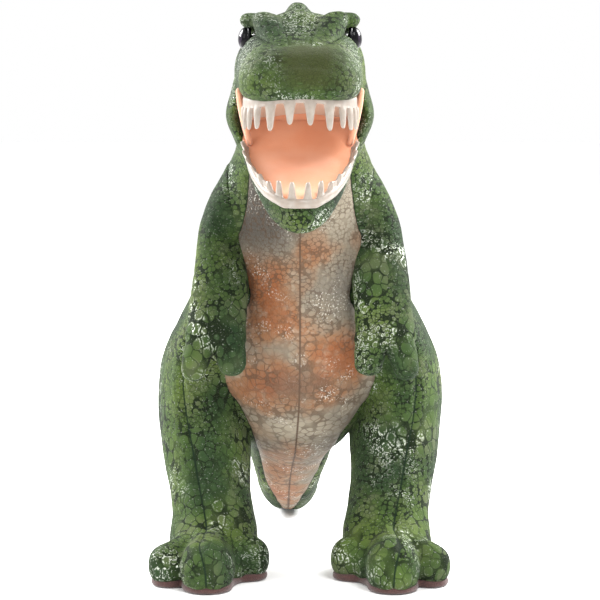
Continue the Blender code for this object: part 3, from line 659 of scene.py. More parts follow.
def green_plush():
    g = Graph("green_plush", roughness=0.62, sheen_weight=0.02, sheen_roughness=0.5, specular_ior_level=0.06)
    rest = g.rest()
    bent = g.bent(rest, 0.11, 3.0)
    square, flat = g.scaled(bent, (1.0, 1.0, 0.85)), g.scaled(bent, (1.0, 0.8, 1.1))
    spots = g.span(g.noise(g.moved(rest, (7.0, 41.0, 3.0)), 0.028, 2.0), 0.44, 0.58, 0.25, 1.35)
    big = g.span(g.times(g.value("big"), spots), 0.40, 0.62)
    edge = g.blend_of(big, g.scale_edge(flat, 0.37), g.scale_edge(square, 0.165))
    shade = g.mix(big, g.cell_shade(flat, 0.37), g.cell_shade(square, 0.165))
    shade = g.node("ShaderNodeSeparateColor", {"Color": shade}, 0)
    patch = g.noise(rest, 0.022, 3.0)
    base = g.ramp(patch, [(0.32, (0.010, 0.023, 0.010)), (0.43, (0.020, 0.039, 0.014)),
                          (0.54, (0.038, 0.066, 0.016)), (0.66, (0.066, 0.098, 0.021))])
    base = g.mix(g.span(shade, 0.1, 0.9, 0.0, 0.6), base, g.mix(1.0, base, (1.55, 1.5, 1.45), "MULTIPLY"))
    dusty = g.noise(rest, 0.045, 4.0)
    tone = g.times(g.span(dusty, 0.44, 0.68), g.span(shade, 0.1, 0.9, 0.1, 0.75))
    inside = g.mix(tone, base, (0.078, 0.090, 0.050))
    outline = g.span(edge, 0.0, 0.07)
    ink = g.times(g.less(outline), g.span(g.noise(rest, 0.05), 0.36, 0.56, 0.40, 0.97))
    coat = g.mix(ink, inside, (0.004, 0.008, 0.003))
    grain = g.noise(rest, 1.6, 3.0)
    coat = g.mix(g.span(grain, 0.35, 0.7, 0.0, 0.3), coat, g.mix(0.5, coat, (0.07, 0.10, 0.04)))
    seam = g.span(g.value("seam"), 0.1, 1.0)
    # Painted shade: the cloth is darkened to near black along the seams' grooves.
    coat = g.mix(seam, (0.010, 0.020, 0.010), coat)
    band = g.times(g.span(edge, 0.05, 0.10), g.span(edge, 0.24, 0.14))
    crackle = g.noise(rest, 0.7, 2.0)
    foil = g.times(band, g.span(crackle, 0.44, 0.60))
    worn = g.span(g.noise(g.moved(rest, (91.0, 17.0, 5.0)), 0.042, 4.0), 0.52, 0.66)
    worn = g.math("MAXIMUM", worn, g.value("shine"))
    foil = g.times(foil, worn)
    specks = g.times(g.span(g.noise(rest, 0.95, 2.0), 0.64, 0.70), g.span(worn, 0.0, 1.0, 0.25, 0.7))
    foil = g.times(g.math("MAXIMUM", foil, specks), seam, clamp=True)
    plain = g.value("plain")
    foil = g.times(foil, g.less(plain))
    coat = g.mix(plain, coat, g.mix(g.span(grain, 0.3, 0.7), (0.026, 0.032, 0.010), (0.044, 0.052, 0.016)))
    g.plug(base_color=g.mix(foil, coat, (0.50, 0.53, 0.46)), metallic=g.times(foil, 0.75),
           roughness=g.span(foil, 0.0, 1.0, 0.66, 0.3))
    lumps = g.bump(g.times(outline, 0.6), 0.65, 0.0008)
    g.plug(normal=g.bump(g.noise(rest, 2.6, 3.0), 0.5, 0.0004, lumps))
    return g.material


def belly_plush():
    g = Graph("belly_plush", roughness=0.55, sheen_weight=0.02, sheen_roughness=0.5, specular_ior_level=0.12)
    rest = g.rest()
    bent = g.bent(rest, 0.09, 5.0)
    small, broad = g.scaled(bent, (0.95, 1.2, 1.2)), g.scaled(bent, (0.9, 1.2, 1.15))
    edge = g.blend_of(g.value("big"), g.scale_edge(small, 0.36), g.scale_edge(broad, 0.20))
    shade = g.node("ShaderNodeSeparateColor", {"Color": g.cell_shade(small, 0.36)}, 0)
    dye = g.math("ADD", g.value("dye"), g.span(g.noise(rest, 0.05, 4.0), 0.3, 0.7, -0.14, 0.14))
    base = g.ramp(dye, [(0.10, (0.130, 0.118, 0.098)), (0.34, (0.180, 0.150, 0.110)),
                        (0.55, (0.220, 0.104, 0.048)), (0.8, (0.215, 0.068, 0.020))])
    # Painted shade: where the field is below 1, the cloth is darkened towards a dark grey-brown.
    painted_lighting = g.value("painted_lighting")
    base = g.mix(g.span(painted_lighting, 0.0, 1.0, 0.9, 0.0), base, (0.045, 0.040, 0.034))
    # Paler scales in patches are print. They are held back under painted shade and become a cream painted highlight
    # above 1.
    pale = g.times(g.span(g.noise(rest, 0.09, 3.0), 0.45, 0.7), g.span(shade, 0.2, 0.9, 0.1, 0.5))
    pale = g.times(pale, g.span(painted_lighting, 0.3, 1.0))
    pale = g.math("MAXIMUM", pale, g.span(painted_lighting, 1.0, 2.0, 0.0, 0.9))
    base = g.mix(pale, base, (0.31, 0.270, 0.20))
    outline = g.span(edge, 0.0, 0.10)
    ink = g.times(g.less(outline), g.span(g.noise(rest, 0.06, 2.0), 0.35, 0.6, 0.2, 0.65))
    coat = g.mix(ink, base, (0.055, 0.030, 0.016))
    fibre = g.noise(g.scaled(rest, (1.0, 1.0, 0.35)), 2.0, 3.0)
    coat = g.mix(g.span(fibre, 0.3, 0.7, 0.0, 0.25), coat, g.mix(0.5, coat, (0.28, 0.25, 0.20)))
    seam = g.span(g.value("seam"), 0.1, 0.9)
    # Painted shade: the cloth is darkened to brown along the seams' grooves.
    coat = g.mix(seam, (0.085, 0.052, 0.034), coat)
    worn = g.span(g.noise(g.moved(rest, (31.0, 57.0, 5.0)), 0.05, 4.0), 0.50, 0.64)
    foil = g.times(g.span(g.noise(rest, 0.9, 2.0), 0.57, 0.66), worn)
    foil = g.times(foil, seam, clamp=True)
    g.plug(base_color=g.mix(g.times(foil, 0.75), coat, (0.55, 0.52, 0.45)),
           metallic=g.times(foil, 0.5), roughness=g.span(foil, 0.0, 1.0, 0.6, 0.28))
    lumps = g.bump(outline, 0.5, 0.0006)
    g.plug(normal=g.bump(g.noise(rest, 2.4, 3.0), 0.4, 0.0004, lumps))
    return g.material


def mouth_velour():
    g = Graph("mouth_velour", roughness=0.8, sheen_weight=0.35, sheen_roughness=0.4)
    rest = g.rest()
    nap = g.noise(rest, 1.9, 4.0)
    cloud = g.noise(rest, 0.06, 2.0)
    base = g.mix(g.span(cloud, 0.3, 0.7), (0.72, 0.300, 0.160), (0.76, 0.36, 0.215))
    base = g.mix(g.span(nap, 0.3, 0.7, 0.0, 0.35), base, (0.70, 0.37, 0.24))
    # Painted light: the palate and the rolls at the mouth's corners are made paler.
    base = g.mix(g.value("pale"), base, (0.60, 0.44, 0.33))
    # Painted shade: the back of the mouth, its side walls and the throat are darkened towards dark red.
    base = g.mix(g.value("deep"), base, (0.30, 0.06, 0.028))
    g.plug(base_color=base, normal=g.bump(nap, 0.45, 0.0005))
    return g.material


def sole_plush():
    g = Graph("sole_plush", roughness=0.85, sheen_weight=0.3, sheen_roughness=0.5)
    rest = g.rest()
    nap = g.noise(rest, 1.5, 4.0)
    base = g.mix(g.span(nap, 0.3, 0.7), (0.035, 0.010, 0.009), (0.075, 0.028, 0.022))
    g.plug(base_color=base, normal=g.bump(nap, 0.5, 0.0006))
    return g.material


def tooth_vinyl():
    g = Graph("tooth_vinyl", roughness=0.38, subsurface_weight=0.3, coat_weight=0.05, coat_roughness=0.3)
    g.shader.inputs["Subsurface Radius"].default_value = (0.004, 0.003, 0.0025)
    g.shader.inputs["Subsurface Scale"].default_value = 0.6
    rest = g.rest()
    cloud = g.noise(rest, 0.25, 3.0)
    base = g.mix(g.span(cloud, 0.3, 0.7), (0.25, 0.212, 0.176), (0.31, 0.272, 0.232))
    root = g.value("root")
    base = g.mix(g.times(root, 0.35), base, (0.25, 0.19, 0.15))
    g.plug(base_color=base, normal=g.bump(g.noise(rest, 0.6, 2.0), 0.15, 0.0004))
    return g.material


def eye_gloss():
    g = Graph("eye_gloss", roughness=0.1, ior=1.22)
    rest = g.rest()
    ring = g.value("ring")
    streaks = g.noise(g.scaled(rest, (1.0, 1.0, 0.4)), 0.9, 3.0)
    iris = g.mix(g.span(streaks, 0.3, 0.7), (0.008, 0.006, 0.010), (0.030, 0.022, 0.036))
    base = g.mix(g.times(g.span(ring, 0.30, 0.38), g.span(ring, 0.66, 0.58)), (0.003, 0.003, 0.004), iris)
    g.plug(base_color=base)
    return g.material


def moulded(name, colour, roughness):
    g = Graph(name, roughness=roughness)
    rest = g.node("ShaderNodeTexCoord", {}, "Object")
    mottle = g.noise(rest, 300.0, 3.0)
    g.plug(base_color=g.mix(g.span(mottle, 0.3, 0.7), colour, tuple(c * 0.8 for c in colour)),
           normal=g.bump(mottle, 0.2, 0.0002))
    return g.material


# The skins that the pieces are cut from

GREEN = green_plush()
BELLY = belly_plush()
LINING = mouth_velour()
SOLE = sole_plush()
VINYL = tooth_vinyl()
GLOSS = eye_gloss()

spine = spine_skin()
leg = {"left": leg_skin()}
arm = {"left": tube_skin(ARM, 1.2, 120, (9.0, 8.0))}
leg["right"] = leg["left"].mirror()
arm["right"] = arm["left"].mirror()
fingers = {"left": {key: tube_skin(FINGERS[key], 0.8, 72, (5.0, 7.5)) for key in FINGERS}}
fingers["right"] = {key: skin.mirror() for key, skin in fingers["left"].items()}
skull = skull_skin()
jaw = jaw_skin()


PAD_VOXEL, SEWN_REACH = 0.0045, 0.006  # metres
PUFF_FRAMES = 20
PUFF_LIMIT, PUFF_SHARE = 6.0, 0.8  # mm that the cloth may move, and how much of its swell is used


def puffed(skins):
    """Blows the stuffed shapes up as cloth and carries the movement over to the fine skins."""
    coarse = []
    for skin in skins:
        points, faces = skin.closed()
        mesh = bpy.data.meshes.new("pad")
        mesh.from_pydata([tuple(p) for p in place(points)], [], faces)
        coarse.append(linked("pad", mesh))
        even = coarse[-1].modifiers.new("even", "REMESH")
        even.mode = "VOXEL"
        even.voxel_size = PAD_VOXEL
    graph = bpy.context.evaluated_depsgraph_get()
    work = bmesh.new()
    for made in coarse:
        work.from_mesh(made.evaluated_get(graph).to_mesh())
    pad_mesh = bpy.data.meshes.new("stuffing_pad")
    work.to_mesh(pad_mesh)
    work.free()
    for made in coarse:
        bpy.data.objects.remove(made)
    pad = linked("stuffing_pad", pad_mesh)
    start = np.zeros(len(pad_mesh.vertices) * 3)
    pad_mesh.vertices.foreach_get("co", start)
    start = start.reshape(-1, 3)
    tree = tree_of(place(np.concatenate([skin.rest[skin.seam < 1.2] for skin in skins])))
    away = np.array([tree.find(p)[2] for p in start])
    group = pad.vertex_groups.new(name="sewn")
    for i, share in enumerate(np.clip(1.15 - away / SEWN_REACH, 0, 1)):
        group.add([i], float(share), "REPLACE")
    cloth = pad.modifiers.new("cloth", "CLOTH")
    cloth.settings.effector_weights.gravity = 0
    cloth.settings.use_pressure = True
    cloth.settings.uniform_pressure_force = 4.0
    cloth.settings.vertex_group_mass = "sewn"
    cloth.settings.pin_stiffness = 0.6
    cloth.settings.quality = 5
    for frame_number in range(1, PUFF_FRAMES + 1):
        bpy.context.scene.frame_set(frame_number)
    graph = bpy.context.evaluated_depsgraph_get()
    end = np.zeros(len(start) * 3)
    pad.evaluated_get(graph).to_mesh().vertices.foreach_get("co", end)
    moved = (end.reshape(-1, 3) - start) / MM
    size = np.linalg.norm(moved, axis=1, keepdims=True)
    moved *= np.minimum(size, PUFF_LIMIT) / np.maximum(size, 1e-6)
    bpy.data.objects.remove(pad)
    bpy.context.scene.frame_set(1)
    tree = tree_of(start)
    for skin in skins:
        flat = place(skin.p.reshape(-1, 3))
        found = np.zeros((len(flat), 3))
        for i, p in enumerate(flat):
            hits = tree.find_n(p, 4)
            weights = np.array([1 / (h[2] + 1e-4) ** 2 for h in hits])
            found[i] = (moved[[h[1] for h in hits]] * weights[:, None]).sum(0) / weights.sum()
        carried = Skin(found.reshape(skin.p.shape), skin.first, skin.last)
        carried.relax(1.0, 6)
        normal = skin.normals()
        swell = np.sum(carried.p * normal, -1)
        skin.p = skin.p + normal * (swell - np.median(swell))[..., None] * PUFF_SHARE


def line(skin, columns, rows=slice(None)):
    return skin.p[rows][:, list(columns)]


spine_columns = spine.p.shape[1]
belly_edge = (BELLY_COLUMNS, spine_columns - BELLY_COLUMNS)
trees = {"spine": spine.tree(), "skull": skull.tree()}
for side in ("left", "right"):
    trees["leg_" + side] = leg[side].tree()
    trees["arm_" + side] = arm[side].tree()
    for key, skin in fingers[side].items():
        trees[key + side] = skin.tree(2)

for side in ("left", "right"):
    height = leg[side].p[..., 2]
    fillet(leg[side], trees["spine"], np.interp(height, HIP_HEIGHTS, HIP_FILLET))
    height = arm[side].p[..., 2]
    fillet(arm[side], trees["spine"], np.interp(height, SHOULDER_HEIGHTS, SHOULDER_FILLET))
    for key, other in (("outer", "inner"), ("inner", "outer")):
        fillet(arm[side], trees[key + side], np.where(height < 160, 5.0, 0.01))
        fillet(fingers[side][key], trees["arm_" + side], 5.0)
        fillet(fingers[side][key], trees[other + side], 2.0)
    fillet(spine, trees["leg_" + side], np.interp(spine.p[..., 2], HIP_HEIGHTS, HIP_FILLET))
    fillet(spine, trees["arm_" + side], np.interp(spine.p[..., 2], SHOULDER_HEIGHTS, SHOULDER_FILLET))
fillet(spine, trees["skull"], 8.0)
fillet(skull, trees["spine"], np.where(skull.p[..., 1] > -40, 8.0, 0.01))

half_leg = LEG_COLUMNS // 2
mark_seams(spine, [line(spine, (*belly_edge, spine_columns // 2))], 0.9, 1.3, 0.5)
mark_seams(spine, [line(spine, (0,))], 0.6, 1.0, 0.35)
for side in ("left", "right"):
    mark_seams(leg[side], [line(leg[side], (0, half_leg), slice(4, -5))])
    mark_seams(arm[side], [line(arm[side], (30, 90), slice(0, -8))], 0.9, 1.4, 0.4)
    for skin in fingers[side].values():
        mark_seams(skin, [line(skin, (18, 54), slice(8, None))], 0.5, 1.2, 0.2)
mark_seams(skull, [line(skull, (0, SKULL_TOP), slice(64, -10))], 0.5, 1.5, 0.2)
limbs = [spine, *leg.values(), *arm.values()]
tips = [*fingers["left"].values(), *fingers["right"].values()]
puffed(limbs + tips)
for seed, skin in enumerate(limbs):
    ripple(skin, seed + 1)
for seed, skin in enumerate(tips):
    ripple(skin, seed + 21, ((9, 0.5), (5, 0.2)))
ripple(skull, 7, ((16, 0.6), (7, 0.25)))
ripple(jaw, 8, ((14, 0.4),))
spine.p[..., 2] = np.maximum(spine.p[..., 2], TAIL_CLEARANCE)


def columns_between(skin, first, last, rows=slice(None)):
    mask = np.zeros(skin.p.shape[:2], bool)
    mask[rows, first:last] = True
    return mask


def ring_of(skin, point):
    """The row of rings whose middle is nearest a point."""
    return int(np.argmin(np.linalg.norm(skin.p.mean(1) - np.array(point), axis=1)))


def finish_piece(piece, slot, nodes=(), fill=None, rides=None, bends=None):
    """Hides the CAD nodes a piece replaces, ties it to one body, and bakes a bending piece's placement into its
    points; its slot is not used.
    """
    if nodes:
        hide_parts(*nodes)
    if rides:
        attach(piece, rides)
    if bends:
        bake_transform(piece)


def blots(points, base, spots):
    """A field with soft round spots, each at an x and z with a width and an amount."""
    field = np.full(points.shape[:2], base)
    for x, z, wide, tall, amount in spots:
        field += amount * bell(np.hypot((points[..., 0] - x) / wide, (points[..., 2] - z) / tall), 1)
    return field


# How orange the belly cloth is, from grey at 0 to rust at 1, and its painted light and shade, from dark painted shade
# at 0 to a cream painted highlight at 2.
DYE = [(-20, 172, 16, 24, 0.62), (8, 196, 12, 16, 0.34), (30, 196, 12, 20, 0.1), (-6, 150, 14, 14, 0.3),
       (26, 132, 18, 20, 0.62), (-22, 112, 16, 20, 0.55), (6, 112, 16, 16, 0.25), (26, 168, 14, 18, -0.2),
       (-26, 215, 16, 22, -0.25), (-8, 60, 18, 20, 0.3), (-14, 25, 14, 20, 0.4)]
# Painted shade where these spots take the field below 1, painted light above 1, a cream painted highlight near 2.
PAINTED_LIGHTING = [(-24, 222, 20, 30, -1.25), (22, 224, 14, 22, 0.85), (6, 205, 12, 14, 0.35), (-2, 86, 26, 9, 1.0),
         (24, 162, 14, 22, 0.25), (-2, 114, 26, 15, -0.6)]


def body_pieces():
    neck_low, neck_high = ring_of(spine, (0, -12, 222)), ring_of(spine, (0, -14, 244))
    tail_row, tip_row = ring_of(spine, (-1.5, 58, 68)), ring_of(spine, (-7, 132, 24))
    middle_of = spine.p.mean(1)

    def span(row, before, after):
        """Where a bend starts and ends, as distances along the spine from a row."""
        along = unit(middle_of[row + 2] - middle_of[row - 2])
        return middle_of[row] + along * before, middle_of[row] + along * after

    # Name, first and last rows, poles closed, how it moves, and the CAD nodes of its green and belly cloths.
    spans = [
        ("neck", 0, neck_high, (0,), {"bends": ("neck", "head", *span(neck_high, -1.5, -21.5))},
         (["neck_skin", "neck_stuffing"], [], [], [])),
        ("collar", neck_high, neck_low, (),
         {"bends": ("torso", "neck", span(neck_low, -1.5, 0)[0], span(neck_high, 0, 1.5)[1])}, ([], [], [], [])),
        ("body", neck_low, tail_row, (), {"rides": "torso"},
         (["body_panel_left", "torso_stuffing"], ["body_panel_right"], ["belly_panel_left"],
          ["belly_panel_right"])),
        ("tail", tail_row, tip_row, (), {"bends": ("torso", "tail", *span(tail_row, 1.5, 35.5))},
         (["tail_panel_left", "tail_stuffing"], ["tail_panel_right"], ["tail_underside"], [])),
        ("tail_tip", tip_row, len(spine.p), (-1,), {"bends": ("tail", "tail_tip", *span(tip_row, 1.5, 23.5))},
         (["tail_tip_panel_left", "tail_tip_stuffing"], ["tail_tip_panel_right"], ["tail_tip_underside"], [])),
    ]
    middle, edge = spine_columns // 2, BELLY_COLUMNS
    # The last field paints light and shade on the belly cloth.
    belly_fields = {"big": smooth_step(spine.rest[..., 2], 170, 130), "dye": blots(spine.rest, 0.24, DYE),
                    "painted_lighting": blots(spine.rest, 1.0, PAINTED_LIGHTING)}
    green = (GREEN, {"big": 0.3, "plain": 0.0}, "green_plush")
    belly = (BELLY, belly_fields, "belly_plush")
    cloths = [("green_left", edge, middle, green), ("green_right", middle, spine_columns - edge, green),
              ("belly_left", 0, edge, belly), ("belly_right", spine_columns - edge, spine_columns, belly)]
    for name, first, end, caps, moves, nodes in spans:
        for (cloth, start, stop, (looks, fields, slot)), taken in zip(cloths, nodes):
            mask = columns_between(spine, start, stop, slice(first, end))
            piece = cut_piece("%s_%s" % (name, cloth), spine, mask, looks, fields, caps)
            finish_piece(piece, slot, taken, 0.8, **moves)


def leg_pieces(side, sign):
    skin = leg[side]
    height = skin.p[..., 2]
    fields = {"big": smooth_step(height, 150, 90) * 0.9, "plain": 0.0}
    green = (height.mean(1) > CLOTH_LOW)[:, None]
    half = columns_between(skin, 0, half_leg)
    hip = ("torso", side + "_leg", (sign * 50, 27, 136), (sign * 64, 27, 104))
    for name, mask, inside in (("outer", half, "leg_stuffing_"), ("inner", ~half, "pellet_bag_")):
        piece = cut_piece("leg_cloth_%s_%s" % (name, side), skin, green & mask, GREEN, fields, (0,))
        finish_piece(piece, "green_plush", ["leg_%s_%s" % (name, side), inside + side], 0.85, bends=hip)
    finish_piece(sole_piece(side, sign), "sole_plush", ["foot_sole_" + side], 0.5, side + "_leg")


SOLE_HEIGHT = 7.0  # where the toes' outline is read for the sole
# The sole's edge as shares of its outline and heights, from underneath, round the rim and back over the top.
SOLE_PROFILE = [(0.2, 0), (0.5, 0), (0.75, 0), (0.87, 0), (0.925, 0.2), (0.955, 0.7), (0.97, 1.5), (0.975, 2.4),
                (0.97, 3.4), (0.95, 4.3), (0.92, 4.8), (0.8, 4.6), (0.5, 4.2), (0.2, 4.0)]


def sole_piece(side, sign):
    """The sole's rolled edge, which shows under the toes and between them."""
    angles = around_from(0, 2 * math.pi, 180)
    base = FOOT + np.stack([25 * np.sin(angles), -36.5 * np.cos(angles)], 1)
    rim = foot_outline(base, SOLE_HEIGHT, 9.0) - FOOT
    rings = []
    for share, height in SOLE_PROFILE:
        rings.append(np.column_stack([FOOT + rim * share, np.full(len(rim), float(height))]))
    skin = Skin(rings, (*FOOT, 0.0), (*FOOT, 4.0))
    points, faces = (skin if sign > 0 else skin.mirror()).closed()
    return mesh_piece("foot_sole_edge_" + side, points, faces, SOLE)


def whole_piece(name, skin, big, nodes, fill, **moves):
    piece = cut_piece(name, skin, np.ones(skin.p.shape[:2], bool), GREEN, {"big": big, "plain": 0.0})
    finish_piece(piece, "green_plush", nodes, fill, **moves)


def arm_pieces(side, sign):
    skin = arm[side]
    fields = {"big": smooth_step(skin.p[..., 2], 240, 150) * 0.9, "plain": 0.0}
    back = columns_between(skin, 30, 90)
    shoulder = ("torso", side + "_arm", (sign * 46, -12, 224), (sign * 50, -22, 200))
    for name, mask, nodes in (("front", ~back, ["arm_front_" + side, "arm_stuffing_" + side]),
                              ("back", back, ["arm_back_" + side])):
        piece = cut_piece("arm_cloth_%s_%s" % (name, side), skin, mask, GREEN, fields)
        finish_piece(piece, "green_plush", nodes, 0.8, bends=shoulder)
    for key, finger in fingers[side].items():
        whole_piece("finger_%s_%s" % (key, side), finger, 0.6, (), 0.8, bends=shoulder)


LIP_COLUMNS = 17
PALATE_FRONT, PALATE_BACK, FLOOR_FRONT = -146, -52, -133


def head_pieces():
    columns = skull.p.shape[1]
    x, y, z = (skull.p[..., i] for i in range(3))
    snout = bell(np.hypot((x - 5) / 1.0, (y + 147) / 1.2), 16) * smooth_step(z, 287, 295)
    brow = bell(np.hypot(x / 16, (y + 92) / 22), 1) * smooth_step(z, 312, 322)
    muzzle_side = bell((np.abs(x) - 31) / 8, 1) * bell((y + 118) / 30, 1) * smooth_step(z, 292, 302)
    # The palate's lining gets painted light over it and painted shade towards the back of the mouth.
    fields = {"big": 0.0, "plain": np.clip(snout * 1.5, 0, 1) * 0.9, "shine": np.maximum(brow, 0.7 * muzzle_side),
              "deep": 0.45 * smooth_step(y, -62, -53), "pale": 1 - smooth_step(y, -60, -54)}
    row_mean = y.mean(1)[:, None]
    lining = columns_between(skull, SKULL_TOP + LIP_COLUMNS, columns - LIP_COLUMNS)
    lining = lining & (row_mean < PALATE_BACK) & (row_mean > PALATE_FRONT)
    top = columns_between(skull, *CROWN_EDGES)
    left = columns_between(skull, CROWN_EDGES[1], SKULL_TOP + SKULL_LOW // 2)
    for name, mask, nodes in (("top", top, ["head_crown", "head_stuffing"]), ("side_left", left, ["cheek_left"]),
                              ("side_right", ~top & ~left, ["cheek_right"])):
        piece = cut_piece("head_" + name, skull, mask & ~lining, GREEN, fields)
        finish_piece(piece, "green_plush", nodes, 0.9, "head")
    palate = cut_piece("palate", skull, lining, LINING, fields, ())
    finish_piece(palate, "mouth_velour", ["palate_lining"], 0.7, "head")
    for side, sign in SIDES:
        skin = brow_skin(sign)
        fillet(skin, trees["skull"], 5.0)
        ripple(skin, 11 + sign, ((8, 0.5), (4, 0.2)))
        whole_piece("brow_ridge_" + side, skin, 0.0, ["brow_" + side], 0.9, rides="head")


def jaw_pieces():
    y = jaw.p[..., 1]
    lining = columns_between(jaw, 5, JAW_TOP - 4) & (y.mean(1)[:, None] > FLOOR_FRONT)
    # The mouth floor gets painted shade towards the back of the mouth.
    fields = {"big": 0.0, "plain": 0.0, "deep": 0.15 * smooth_step(y, -82, -58), "pale": 0.0}
    skin = cut_piece("jaw_underside", jaw, ~lining, GREEN, fields)
    finish_piece(skin, "green_plush", ["jaw_skin", "jaw_stuffing"], 0.85, "jaw")
    floor = cut_piece("mouth_floor", jaw, lining, LINING, fields, ())
    finish_piece(floor, "mouth_velour", ["mouth_floor_lining"], 0.7, "jaw")


def mouth_part(name, stations, sign, looks, slot, fill, start, end, around, **values):
    """A round-ended roll from the head to the jaw, along stations of x, y, z, half width, half depth."""
    stations = [(sign * x, *others) for x, *others in stations]
    points, faces = tube_skin(stations, 1.0, around, (2.0, 2.0), (25, 50, 72, 84)).closed()
    kept = {key: np.full(len(points), value) for key, value in values.items()}
    piece = mesh_piece(name, points, faces, looks, None, kept)
    finish_piece(piece, slot, (), fill, bends=("head", "jaw", start, end))


def mouth_sides():
    """The rolls, soft walls, green cheeks and throat that close the back of the mouth."""
    roll = [(34.6, -83, 289, 1.8, 2.8), (33.6, -79, 281, 2.0, 3.0), (31.4, -76, 270, 2.0, 3.0),
            (28.8, -75, 260, 1.7, 2.6)]
    wall = [(32.8, -65, 292, 2.4, 11), (33.0, -63, 280, 2.4, 11), (31.8, -61, 268, 2.4, 9), (30.2, -61, 258, 2.4, 7)]
    cheek = [(34.4, -62, 298, 3.0, 12), (36.2, -60, 288, 3.8, 15), (38.4, -58, 275, 4.4, 15),
             (34.6, -58, 262, 3.6, 13), (31.4, -60, 252, 2.6, 9)]
    # The rolls get a little painted shade and some painted light, and the walls get heavy painted shade.
    for side, sign in SIDES:
        mouth_part("mouth_corner_roll_" + side, roll, sign, LINING, "mouth_velour", 0.7, (0, -70, 284), (0, -70, 262),
                   24, deep=0.08, pale=0.2)
        mouth_part("mouth_wall_" + side, wall, sign, LINING, "mouth_velour", 0.5, (0, -66, 284), (0, -66, 262),
                   24, deep=0.75, pale=0.0)
        mouth_part("mouth_cheek_" + side, cheek, sign, GREEN, "green_plush", 0.85, (0, -60, 284), (0, -60, 262),
                   40, big=0.0, plain=0.0, seam=FAR)
    # The throat gets a little painted shade.
    throat = [(0, -60, 296, 33, 3), (0, -57, 284, 35, 3), (0, -58, 272, 35, 3), (0, -66, 262, 34, 3)]
    mouth_part("throat", throat, 1, LINING, "mouth_velour", 0.5, (0, -60, 284), (0, -60, 264),
               48, deep=0.12, pale=0.0)


def lip_path(share, half, ahead, start, power):
    turn = share * math.pi / 2
    across, forward = math.sin(turn), math.cos(turn)
    x = half * math.copysign(abs(across) ** (2 / power), across)
    return x, start - ahead * forward ** (2 / power)


TOOTH_OUTLINE = ((0, 0.2, 0.35, 0.45, 0.57, 0.71, 0.85, 1), (1, 0.985, 0.93, 0.85, 0.64, 0.35, 0.13, 0))


def tooth_strip(name, node, body, outline, lip, count, length, up, splay, tooth_share, band, sill, flap):
    """A moulded strip along a lip: a band, round-tipped teeth, and a low flap along each side.

    outline is lip_path's; lip is the stations, their height column and a lift; splay is how far the teeth lean
    out in the middle and at the sides; flap is its share and its heights between teeth and under them.
    """
    shares = np.linspace(-1, 1, 4001)
    path = np.array([lip_path(s, *outline) for s in shares])
    run = np.concatenate([[0], np.cumsum(np.linalg.norm(np.diff(path, axis=0), axis=1))])
    steps = count * 24
    even = np.linspace(0, run[-1], steps + 1)
    path = np.stack([np.interp(even, run, path[:, i]) for i in range(2)], 1)
    ahead = unit(np.gradient(path, axis=0))
    out = np.stack([ahead[:, 1], -ahead[:, 0]], 1)
    table = np.array(lip[0], float)
    table = table[np.argsort(table[:, 0])]
    base = np.interp(path[:, 1], table[:, 0], table[:, lip[1]]) + lip[2]
    pitch = run[-1] / count
    centre = (np.floor(even / pitch) + 0.5) * pitch
    off = np.clip(np.abs(even - centre) / (pitch * tooth_share), 0, 1)
    side = np.abs(even / run[-1] * 2 - 1)
    uneven = 1 + 0.12 * np.sin(centre * 7.3)
    tall = length * (1 - 0.6 * smooth_step(side, 0.4, 0.95)) * uneven
    tooth = tall * np.interp(off, *TOOTH_OUTLINE)
    edge = smooth_step(side, 0.22, 0.34)
    tooth = np.maximum(tooth * (1 - edge * flap[0]), edge * (flap[1] + flap[2] * (1 - off)))
    lean = splay[0] + (splay[1] - splay[0]) * smooth_step(side, 0.25, 0.75)
    layers = []
    heights = [(-band, 0.7), (-band * 0.5, 1.0), (0.4, 1.0), (sill, 0.95)]
    heights += [(s, None) for s in (0.15, 0.35, 0.55, 0.75, 0.88, 0.96, 1.0)]
    for sign in (1, -1):
        for level, fat in heights[::1 if sign > 0 else -1]:
            if fat is None:
                rise = sill + 0.2 + tooth * level
                plump = 1.2 * np.clip(1 - off, 0, 1) ** 0.6 * math.sqrt(max(0.0, 1 - level**2.2))
                thick = 0.45 + plump * (tooth > 0.5)
            else:
                rise = np.full(steps + 1, level)
                thick = np.full(steps + 1, fat)
            shift = lean * np.maximum(rise, 0) + sign * thick
            layers.append(np.column_stack([path + out * shift[:, None], base + up * rise]))
    grid = np.array(layers)
    levels, columns = grid.shape[:2]
    points = grid.reshape(-1, 3)
    faces = []
    for r in range(levels):
        n = (r + 1) % levels
        for c in range(columns - 1):
            faces.append((r * columns + c, r * columns + c + 1, n * columns + c + 1, n * columns + c))
    faces.append(tuple(r * columns for r in range(levels)))
    faces.append(tuple(r * columns + columns - 1 for r in range(levels))[::-1])
    root = np.tile(1 - np.clip(tooth / length, 0, 1), levels)
    piece = mesh_piece(name, points, outward(points, faces), VINYL, None, {"root": root})
    finish_piece(piece, "tooth_vinyl", [node], rides=body)


